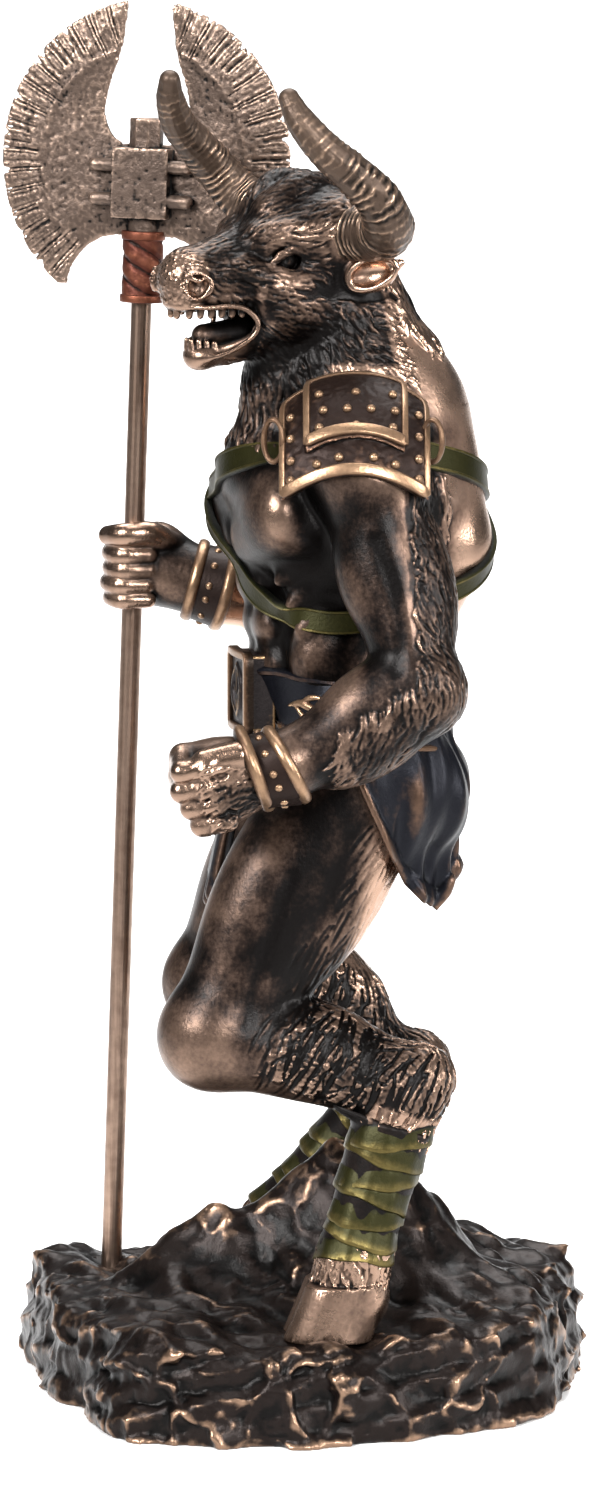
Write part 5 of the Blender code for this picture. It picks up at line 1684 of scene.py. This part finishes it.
# a gilt leaf on the near side of the belt
near = [k for k in range(len(path)) if path[k][0] > 0]
start = min(near, key=lambda k: abs(path[k][1] + 3.0))
step = 1 if path[(start + 1) % len(path)][1] > path[start][1] else -1
leafClay = Clay(path[start] - (12, 8, 9), path[start] + (9, 20, 9), 0.3)
for rows in (
    ((0, -0.6, 0.35), (3, 0.6, 0.8), (6, 0.2, 0.9), (9, -1.0, 0.5), (11, -1.4, 0.3)),
    ((3, 0.4, 0.4), (5, 2.0, 0.7), (8, 2.4, 0.5), (10, 1.6, 0.3)),
    ((2, -0.4, 0.4), (4, -2.2, 0.6), (6.5, -2.8, 0.4)),
):
    strokes = []
    for reach, rise, thick in rows:
        k = (start + step * round(reach / 1.1)) % len(path)
        strokes.append((*(path[k] + out[k] * 1.1 + np.array((0, 0, rise))), thick))
    leafClay.tube(strokes, 0.4, steps=4)
castOn(castPiece("belt_leaf", leafClay, "cloth", goldTrim, share=0.05))

ringProfile = [
    (-1.3, -0.8), (-1.3, 0.55), (-1.1, 1.0), (-0.6, 1.3), (0, 1.4), (0.6, 1.3), (1.1, 1.0),
    (1.3, 0.55), (1.3, -0.8),
]
leatherProfile = [(-3.5, -0.8), (-3.5, 0.55), (0, 0.62), (3.5, 0.55), (3.5, -0.8)]
for side in sides:
    for index, distance in enumerate(ringDistances):
        castBand(f"{side}_bracer_ring_{index + 1}", bracerLoop(side, distance), ringProfile, goldTrim)
    path, across, out = bracerLoop(side, sum(ringDistances) / 2)
    castBand(f"{side}_bracer_leather", (path, across, out), leatherProfile, darkLeather)
    spots = path[::9] + out[::9] * 0.5
    studs = rivets(f"{side}_bracer_studs", spots, out[::9], 0.85, goldTrim)
    flatRelief(studs, 0.74)
    castOn(studs)

wrapProfile = [
    (-2.7, -1.2), (-2.7, -0.05), (-2.1, 0.15), (0.0, 0.35), (1.6, 0.62), (2.3, 0.68), (2.6, 0.4),
    (2.6, -1.2),
]
for side, liner in wrapLiners:
    under = tubeMesh(f"{side}_wrap_lining", liner, darkLeather)
    flatRelief(under, 0.36)
    castOn(under)
for side, turn, loop in wrapTurns:
    flip = 1 if loop[1][0] @ (bone("fetlock", side) - bone("hock", side)) > 0 else -1
    profile = [(u * flip, v) for u, v in wrapProfile][::flip]

    def uneven(section):
        spots = np.arange(len(section)) / len(section) * 6.283
        wide = 1 + 0.14 * np.sin(spots * 2 + turn * 1.7) + 0.08 * np.sin(spots * 5 + turn)
        section[..., 0] *= wide[:, None]
        crease = 0.10 * np.sin(spots * 9 + turn * 2.1) + 0.12 * np.sin(spots * 3 + turn) + 0.12 * (turn % 2)
        section[..., 1] += crease[:, None] * (section[..., 1] > 0)
        return section

    castBand(f"{side}_wrap_{turn + 1}", loop, profile, greenStrap, uneven)
print("straps, belt, bracers and wraps made")


# The skirt, the flap and the shoulder guard


def cloth(x, y, z):
    drop = np.clip((150 - z) / 40, 0, 1)
    angle = np.arctan2(x, y - 9)
    fold = 0.75 * np.sin(9 * angle + 2.5 * drop) * drop
    crease = np.sin(17 * angle + 1.5 + 4 * drop + 0.8 * np.sin(5 * angle)) + 0.4 * np.sin(33 * angle - 5 * drop)
    fold = fold + 1.25 * crease * (0.45 + 0.55 * drop)
    rx, ry = 19.5 + 8 * drop + fold, 20.5 + 1.2 * np.sin(3 * drop) + fold
    roundWall = (np.sqrt((x / rx) ** 2 + ((y - 9) / ry) ** 2) - 1) * 20
    hem = skirtHem(y - 2)
    above = z - hem
    border = 1.1 * np.clip(1 - np.abs(above - 2.2) / 2.4, 0, 1) ** 0.5
    # it lies over the hips where they are wider than its own round
    spots = np.stack(np.broadcast_arrays(x, y, z), -1)
    hipSide = waistClay.read(spots.reshape(-1, 3), False).reshape(spots.shape[:3]) - 1.4 - 0.8 * fold
    mix = np.maximum(2.5 - np.abs(roundWall - hipSide), 0)
    draped = np.minimum(roundWall, hipSide) - mix * mix / 10
    sheet = np.abs(draped) - 1.25 - border
    return np.maximum(sheet, np.maximum(hem - z, z - 150))


clothClay = Clay((-36, -26, 102), (36, 44, 154), gridStep("cloth"))
clothClay.shape((-38, 0, 104), (38, 42, 152), cloth, 1.0)
clothClay.limb((0, -12.0, 148), (1, -18.8, 115), 7.5, 8.0, 1.0, ((0, 1, 0.15), 0.24))
for start, end in (
    ((4, -12.5, 146), (7, -19.6, 111)), ((-4, -12.5, 146), (-5, -19.6, 111)),
    ((0.5, -14, 140), (1.2, -20.2, 109)),
):
    clothClay.limb(start, end, 1.2, 1.8, 1.2)
castOn(castPiece("skirt", clothClay, "cloth", blackCloth, share=0.02))

guardClay = Clay((10, -16, 186), (54, 38, 232), gridStep("guard"))
for plate, lift in ((outerPlate, 0), (innerPlate, 1.1)):
    edge = plateSide(**plate)
    guardClay.shape(
        (10, -16, 186), (54, 38, 232), lambda x, y,
        z: np.maximum(np.abs(bulge(x, y, z) - lift + 1) - 1.6, edge(x, y, z)), 0.3,
    )
guardClay.emboss(lambda p: 0.24 * np.abs(grain(p, 2.2, 61)) + 0.08 * grain(p, 0.9, 62), 1.0)
castOn(castPiece("shoulder_guard", guardClay, "guard", darkLeather, share=0.02))


# A point on the guard's bulge at that height over it, and the way out of it
def onBulge(y, z, lift):
    (cx, cy, cz), (rx, ry, rz) = bulgeCentre, bulgeRadii
    x = cx + rx * math.sqrt(max(1 - ((y - cy) / ry) ** 2 - ((z - cz) / rz) ** 2, 0.0))
    spot = np.array((x, y, z))
    out = unitVector((spot - bulgeCentre) / np.array(bulgeRadii) ** 2)
    return spot + out * lift, out


# A raised rim round a plate: thick along the arched foot, thin up the sides and along the top
def plateRim(name, plate, lift):
    front, back, foot, arch = plate["front"], plate["back"], plate["foot"], plate["arch"]
    middle = (front + back) / 2

    def footAt(y):
        return foot - arch * (y - middle) ** 2

    def topAt(y):
        (cx, cy, cz), (rx, ry, rz) = bulgeCentre, bulgeRadii
        share = 1 - ((y - cy) / ry) ** 2 - ((19.9 - cx) / rx) ** 2
        return cz + rz * math.sqrt(max(share, 0))

    inset = 0.7
    rows = []
    for y in np.linspace(front + inset, back - inset, 44):
        rows.append((y, footAt(y) + inset, 1.0))
    for share in np.linspace(0, 1, 26)[1:-1]:
        y = back - inset
        rows.append((y, footAt(y) + (topAt(y) - 0.3 - footAt(y)) * share, 0.2))
    for y in np.linspace(back - inset, front + inset, 40):
        rows.append((y, topAt(y) - 0.3, 0.2))
    for share in np.linspace(1, 0, 26)[1:-1]:
        y = front + inset
        rows.append((y, footAt(y) + (topAt(y) - 0.3 - footAt(y)) * share, 0.25))
    rows = np.array(rows)
    for _ in range(3):
        rows = (np.roll(rows, 1, 0) + 2 * rows + np.roll(rows, -1, 0)) / 4
    spots, outs = zip(*(onBulge(y, z, lift + 0.4) for y, z, _ in rows))
    spots, outs = np.array(spots), np.array(outs)
    ahead = np.roll(spots, -1, 0) - np.roll(spots, 1, 0)
    ahead /= np.linalg.norm(ahead, axis=1)[:, None]
    across = np.cross(ahead, outs)
    profile = barProfile(2.6, 1.25, 0.6, 0.5)

    def sized(section):
        return section * (0.45 + 0.55 * rows[:, 2:3, None])

    castBand(name, (spots, across, outs), profile, goldTrim, sized)


plateRim("guard_outer_rim", outerPlate, 0)
plateRim("guard_inner_rim", innerPlate, 1.1)
studPlaces = []
for row, (z, count) in enumerate(((219.0, 3), (216.2, 4), (213.2, 3))):
    for y in np.linspace(3.4 + 0.8 * (row == 1), 17.6 + 0.4 * (row == 1), count):
        studPlaces.append((y, z - 0.012 * (y - 10.5) ** 2, 1.85))
for y, levels in ((-2.6, (214.5, 210.6, 206.4, 202.6)), (23.1, (215.0, 211.0, 206.8, 202.9))):
    studPlaces += [(y, z, 0.8) for z in levels]
for y in (2.6, 7.0, 14.0, 18.4):
    studPlaces.append((y, 207.9 - 0.03 * (y - 10.4) ** 2, 0.8))
spots, outs = zip(*(onBulge(*place) for place in studPlaces))
guardStuds = rivets("guard_studs", spots, outs, 1.0, goldTrim, 0.85)
flatRelief(guardStuds, 0.74)
castOn(guardStuds)
for index, y in enumerate((-6.6, 26.4)):
    turns = np.linspace(0, 2 * math.pi, 49)[:-1]
    path = np.column_stack(
        [31.5 + 1.2 * np.cos(turns), y + 2.0 * np.cos(turns), 210.5 + 4.4 * np.sin(turns)]
    )
    middle = path.mean(0)
    out = path - middle
    out /= np.linalg.norm(out, axis=1)[:, None]
    ahead = np.roll(path, -1, 0) - np.roll(path, 1, 0)
    across = np.cross(ahead / np.linalg.norm(ahead, axis=1)[:, None], out)
    profile = [(0.85 * math.cos(a), 0.62 * math.sin(a)) for a in np.linspace(0, 2 * math.pi, 11)[:-1]]
    ring = sweep(f"guard_ring_{index + 1}", path, across, out, profile, goldTrim)
    flatRelief(ring, 0.62)
    castOn(ring)
print("skirt and guard made")


# The buckle: a curved plate in a raised frame, with a leaf on it


def buckleSpot(across, up, lift):
    return torso.at(23.3 + lift - 0.010 * across**2, across, -35.0 + up)


buckleFrame = [(-7.2, -8.0), (7.2, -8.0), (7.2, 8.0), (-7.2, 8.0)]
corners = []
for (a, b), (c, d) in zip(buckleFrame, buckleFrame[1:] + buckleFrame[:1]):
    for share in np.linspace(0, 1, 14)[:-1]:
        corners.append((a + (c - a) * share, b + (d - b) * share))
corners = np.array(corners)
corners = (np.roll(corners, 1, 0) + 2 * corners + np.roll(corners, -1, 0)) / 4
path = np.array([buckleSpot(a, b, 0.9) for a, b in corners])
out = np.repeat(torso.way(1, 0, 0)[None], len(path), 0)
ahead = np.roll(path, -1, 0) - np.roll(path, 1, 0)
across = np.cross(ahead / np.linalg.norm(ahead, axis=1)[:, None], out)
frameProfile = barProfile(1.7, 0.9, 1.2, 0.4)
castBand("buckle_frame", (path, across, out), frameProfile, goldTrim)
buckleClay = Clay(torso.at(23, 0, -35) - 13, torso.at(23, 0, -35) + 13, 0.3)


def bucklePlate(x, y, z):
    local = [
        (x - torso.origin[0]) * torso.axes[0][i]
        + (y - torso.origin[1]) * torso.axes[1][i]
        + (z - torso.origin[2]) * torso.axes[2][i]
        for i in range(3)
    ]
    f, l, u = local
    thick = np.abs(f - 21.0 + 0.010 * l**2) - 3.0
    return np.maximum(thick, np.maximum(np.abs(l) - 7.2, np.abs(u + 35.0) - 8.0))


buckleClay.shape(buckleClay.low, buckleClay.low + 30, bucklePlate, 0.2)
for bend in (-1, 1):
    leafEdge = ((0.4, -5.0, 0.5), (2.6, -2.6, 0.8), (3.6, 0.8, 0.75), (2.0, 3.6, 0.6), (0.2, 5.4, 0.35))
    leaf = [(*buckleSpot(bend * a, b, 0.75), r) for a, b, r in leafEdge]
    buckleClay.tube(leaf, 0.3, steps=5)
    leafVein = ((0.2, -2.0, 0.4), (1.8, 0.2, 0.4), (4.6, 1.8, 0.3))
    buckleClay.tube([(*buckleSpot(bend * a, b, 0.7), r) for a, b, r in leafVein], 0.3, steps=4)
buckleClay.tube([(*buckleSpot(0, b, 0.75), 0.42) for b in (-5.4, 0, 5.6)], 0.3, steps=5)
castOn(castPiece("buckle_plate", buckleClay, "cloth", blackGold, share=0.05))


# The rock

rockClay = Clay((-66, -70, -6), (54, 71, 62), gridStep("rock"))
cut, (x, y, z) = rockClay.whole()
side = outlineSide(x, y, np.array(rockOutline, float))
top = rockHeight(x, y)
slope = 0.16 * (z - 4) + 1.6 * ripple(x, y, 2.2 * z, 9, 5) + 1.2 * np.abs(ripple(x, y, z, 20, 6))
rockClay.merge(cut, ((z - top) * 0.8).astype(np.float32), 0.1)
rockClay.merge(cut, -(side + slope).astype(np.float32), 4.0, carve=True)


# Broken stone: split facets, pits with sharp lips on the walls, and worn ridges on top
def stoneRelief(points):
    wall = np.clip(1.7 - 2.3 * np.abs(rockClay.read(points)[1][:, 2]), 0, 1)
    bent = points + np.stack(
        [4 * grain(points, 8, k) + 0.8 * grain(points, 2.5, k) for k in (71, 72, 73)], -1
    )
    near, far = pips(bent * (1, 1, 1.1), 15.0, 74)
    scoop = np.clip((far - near) / 4.2, 0, 1) ** 0.8
    near, far = pips(bent, 6.5, 75)
    chip = np.clip((far - near) / 2.4, 0, 1) ** 0.8
    flow = np.abs(grain(bent * (1, 0.4, 1), 5.0, 78))
    ridges = np.clip(0.22 - flow, 0, 1) * np.clip(0.6 + 1.6 * grain(points, 9, 77), 0, 1)
    lift = wall * (0.8 - 1.5 * scoop - 0.3 * chip) + (1 - wall) * (2.6 * ridges - 0.10 * chip)
    return lift + 0.18 * grain(bent, 5.5, 79) + 0.10 * grain(points, 1.5, 80) + 0.10 * grain(points, 0.8, 76)


rockClay.emboss(stoneRelief, 3.0)
rockClay.field = np.maximum(rockClay.field, -z).astype(np.float32)
standFor(
    castPiece("rock", rockClay, "rock", rockBronze, fineReach=1.3, broadReach=5), "rock_base",
)
print("rock made")


# The axe

axeCentre = 26.0
axeAxes = np.array(
    Matrix.Rotation(-math.asin(shaftWay[1]), 3, "X") @ Matrix.Rotation(math.radians(73), 3, "Z")
)
axeFoot = shaftFoot + shaftWay * 215.4
axeClay = Clay((-36, -8, -2), (36, 8, 70), gridStep("blade"))
bladeEdge = bladeOutline()


# Two broad blades: a bright worn line runs inside a band of grooves that fan out to the edge
def blades(x, y, z):
    u, v = np.abs(x) + 0 * z, (z - axeCentre) + 0 * x
    side = outlineSide(u, v, bladeEdge)
    fromHub = np.hypot(u + 2.1, v - 4.9)
    turn = np.degrees(np.arctan2(v - 4.9, u + 2.1))
    flat = np.stack([u + 50, 0 * u, v], -1)[:, 0]
    uneven = grain(flat.reshape(-1, 3), 2.2, 81).reshape(side.shape[0], 1, -1)
    phase = turn / 1.9 + 0.12 * uneven + 0.3 * np.sin(turn * 0.9)
    each = np.floor(phase)
    first = 26.4 + 1.6 * np.sin(each * 12.9) + 0.9 * np.sin(each * 4.1)
    band = np.clip((fromHub - first) / 0.8, 0, 1) * np.clip(-side / 0.5, 0, 1)
    groove = np.clip(2.0 * (0.62 - np.abs((phase % 1.0) - 0.5) * 2), 0, 1) * (0.6 + 0.4 * np.sin(each * 7.7))
    worn = np.exp(-(((fromHub - 25.4 - 0.5 * uneven) / 0.8) ** 2))
    thick = np.interp(-side, (0, 7), (0.45, 1.65))
    thick = thick - 0.46 * groove * band + 0.32 * worn * (side < -1)
    return np.maximum(side, np.abs(y) - thick)


axeClay.shape(axeClay.low, axeClay.low + 80, blades, 0.1)
nickPull = np.random.default_rng(15)
for mirror in (-1, 1):
    for angle in nickPull.uniform(-48, 74, 9):
        reach = 35.1 * np.array((math.cos(math.radians(angle)), math.sin(math.radians(angle))))
        at = np.array((mirror * (reach[0] - 2.1), 0, axeCentre + 4.9 + reach[1]))
        inner = at - np.array((mirror * reach[0], 0, reach[1])) / 35.1 * nickPull.uniform(0.6, 2.0)
        axeClay.limb(at, inner, 0.8, 0.15, 0.2, carve=True)


def axePits(points):
    deep = 0.7 * np.clip(grain(points, 1.0, 82) - 0.1, 0, 1) + 0.8 * np.clip(grain(points, 0.55, 83), 0, 1)
    return -0.26 * deep


axeClay.emboss(axePits, 1.0)


def block(x, y, z):
    gaps = [np.abs(g) - size for g, size in zip((x, y, z - axeCentre), (6.35, 4.5, 7.65))]
    return np.maximum(np.maximum(gaps[0], gaps[1]), gaps[2])


axeClay.shape(axeClay.low, axeClay.low + 80, block, 0.3)
for level in (-3.7, 3.7):
    for depth in (-2.9, 2.9):
        axeClay.limb((-10.5, depth, axeCentre + level), (10.5, depth, axeCentre + level), 1.5, 1.5, 0.2)


def cap(x, y, z):
    around = np.maximum(np.maximum(np.abs(x), np.abs(y)), (np.abs(x) + np.abs(y)) * 0.72) - 3.5
    hollow = np.minimum(2.0 - np.hypot(x, y), z - axeCentre - 12.9)
    return np.maximum(np.maximum(around, z - axeCentre - 14.0), hollow)


axeClay.shape(
    axeClay.low, axeClay.low + 80, lambda x, y, z: np.maximum(cap(x, y, z), axeCentre + 4 - z), 0.25
)
axeClay.limb((0, 0, 4), (0, 0, axeCentre - 6), 3.4, 3.4, 0.3)
axeClay.emboss(lambda p: -0.18 * np.clip(grain(p, 0.9, 84), 0, 1), 0.6)


def placeOnAxe(piece):
    turned = pointsOf(piece) @ axeAxes.T + axeFoot
    piece.data.vertices.foreach_set("co", (turned * mm).ravel())
    piece.data.update()
    return standFor(piece, "axe_head")


placeOnAxe(castPiece("axe_blades", axeClay, "blade", bladeBronze, share=0.2))

# leather wound round the neck, held by a collar at each end
windings, around, rise = 64, 72, 15.0
rows = []
turns = 2 * math.pi * np.arange(around) / around
for level in np.linspace(0.6, rise - 0.6, windings):
    phase = (level / 4.6 + turns / (2 * math.pi) * 3) % 1
    strip = np.clip(4.0 * np.minimum(phase, 1 - phase), 0, 1)
    uneven = 0.12 * grain(
        np.column_stack([4 * np.cos(turns), 4 * np.sin(turns), level + 0 * turns]), 1.3, 85
    )
    radius = 3.85 + 0.55 * strip**0.7 + 0.18 * (1 - phase) + uneven
    rows.append(np.column_stack([radius * np.cos(turns), radius * np.sin(turns), level + 0 * turns]))
binding = tubeMesh("neck_binding", np.array(rows), redWrap)
bulk = np.hypot(*np.moveaxis(np.array(rows)[..., :2], -1, 0))
setAttribute(binding, "ridge", np.clip(0.5 + (bulk - 4.25) * 0.8, 0, 1).ravel())
setAttribute(binding, "swell", np.full(bulk.size, 0.5))
placeOnAxe(binding)
for index, (low, high) in enumerate(((0.0, 1.7), (rise - 1.4, rise + 0.6))):
    path = np.column_stack([4.1 * np.cos(turns), 4.1 * np.sin(turns), 0 * turns + (low + high) / 2])
    out = np.column_stack([np.cos(turns), np.sin(turns), 0 * turns])
    across = np.repeat(np.array([[0, 0, 1.0]]), around, 0)
    collarProfile = barProfile(high - low, 0.75, 0.8, 0.35)
    collar = sweep(f"neck_collar_{index + 1}", path, across, out, collarProfile, redWrap)
    finishBand(collar, collarProfile, around)
    placeOnAxe(collar)
rodPaint = Paint("rod_bronze")
streaks = rodPaint.noise(900, 3, vector=rodPaint.stretched(1, 1, 0.05))
blotches = rodPaint.noise(260, 3)
rodShade = (streaks * 0.6 + blotches * 0.5).between(0.35, 0.75)
rodMaterial = rodPaint.finish(
    Base_Color=rodPaint.mix(rodShade, (0.15, 0.098, 0.072), (0.33, 0.23, 0.175)),
    Metallic=1.0,
    Roughness=rodShade.span(0.38, 0.28),
    Normal=rodPaint.bump(streaks, 0.03, 0.4),
)
for slot in bpy.data.objects["axe_shaft"].material_slots:
    slot.material = rodMaterial
print("axe made")


# Stage, light and camera


def lamp(name, place, aim, size, power, spread=40):
    light = bpy.data.lights.new(name, "AREA")
    light.shape = "RECTANGLE"
    light.size, light.size_y = size
    light.energy = power
    light.spread = math.radians(spread)
    lit = bpy.data.objects.new(name, light)
    bpy.context.scene.collection.objects.link(lit)
    lit.location = place
    way = np.array(aim, float) - np.array(place, float)
    lit.rotation_euler = Vector(way).to_track_quat("-Z", "Y").to_euler()


# one pale sheet: the floor, bent up behind into a low backdrop that no view from behind meets
sheetWide, sheetBend, sheetBack, sheetTop = 3.0, 0.25, -1.8, 0.38
profile = [(3.5, 0.0), (sheetBack, 0.0)]
for angle in np.radians(np.linspace(0, 90, 25)):
    profile.append((sheetBack - sheetBend * math.sin(angle), sheetBend * (1 - math.cos(angle))))
profile.append((sheetBack - sheetBend, sheetTop))
rows = np.array([[(x, y, z) for y in (-sheetWide, sheetWide)] for x, z in profile]) / mm
corners = [(2 * i, 2 * i + 1, 2 * i + 3, 2 * i + 2) for i in range(len(profile) - 1)]
sheet = meshObject("pale_sheet", rows.reshape(-1, 3), np.array(corners))
smoothShade(sheet)
sheetPaint = Paint("pale_paper")
mottle = sheetPaint.noise(3, 2)
sheet.data.materials.append(
    sheetPaint.finish(
        Base_Color=sheetPaint.mix(mottle, (0.83, 0.83, 0.83), (0.86, 0.86, 0.86)), Roughness=0.7
    ),
)
world = bpy.data.worlds.new("studio")
bpy.context.scene.world = world
world.use_nodes = True
world.node_tree.nodes["Background"].inputs["Color"].default_value = (0.93, 0.96, 1.0, 1)
world.node_tree.nodes["Background"].inputs["Strength"].default_value = 0.12
lamp("key", (0.75, -0.75, 0.75), (0, 0, 0.16), (0.45, 0.65), 2.45)
lamp("front", (1.1, 0.42, 0.62), (0, 0, 0.15), (0.28, 0.5), 1.3)
lamp("fill", (0.45, 1.05, 0.45), (0, 0, 0.14), (0.3, 0.8), 1.2)
lamp("top", (0.05, 0.05, 1.1), (0, 0, 0.15), (0.7, 0.7), 1.0)
lamp("wash", (-1.25, 0, 2.2), (-1.5, 0, 0), (2.0, 1.4), 70, 110)
bpy.context.scene.view_settings.view_transform = "Standard"

camera = bpy.data.objects.new("camera", bpy.data.cameras.new("camera"))
bpy.context.scene.collection.objects.link(camera)
tilt, reach, aimHeight, aimSide = math.radians(8), 1.25, 0.150, -0.0015
pictureHeight, horizonRow, pixelSize, sensor = 1500, 708.652, 0.00021407588630121824, 36
camera.location = (reach * math.cos(tilt), aimSide, aimHeight + reach * math.sin(tilt))
camera.rotation_euler = (math.radians(90) - tilt, 0, math.radians(90))
camera.data.sensor_fit = "VERTICAL"
camera.data.sensor_height = sensor
camera.data.lens = sensor * (reach / pixelSize) / pictureHeight
camera.data.shift_y = (horizonRow - pictureHeight / 2) / pictureHeight
bpy.context.scene.camera = camera
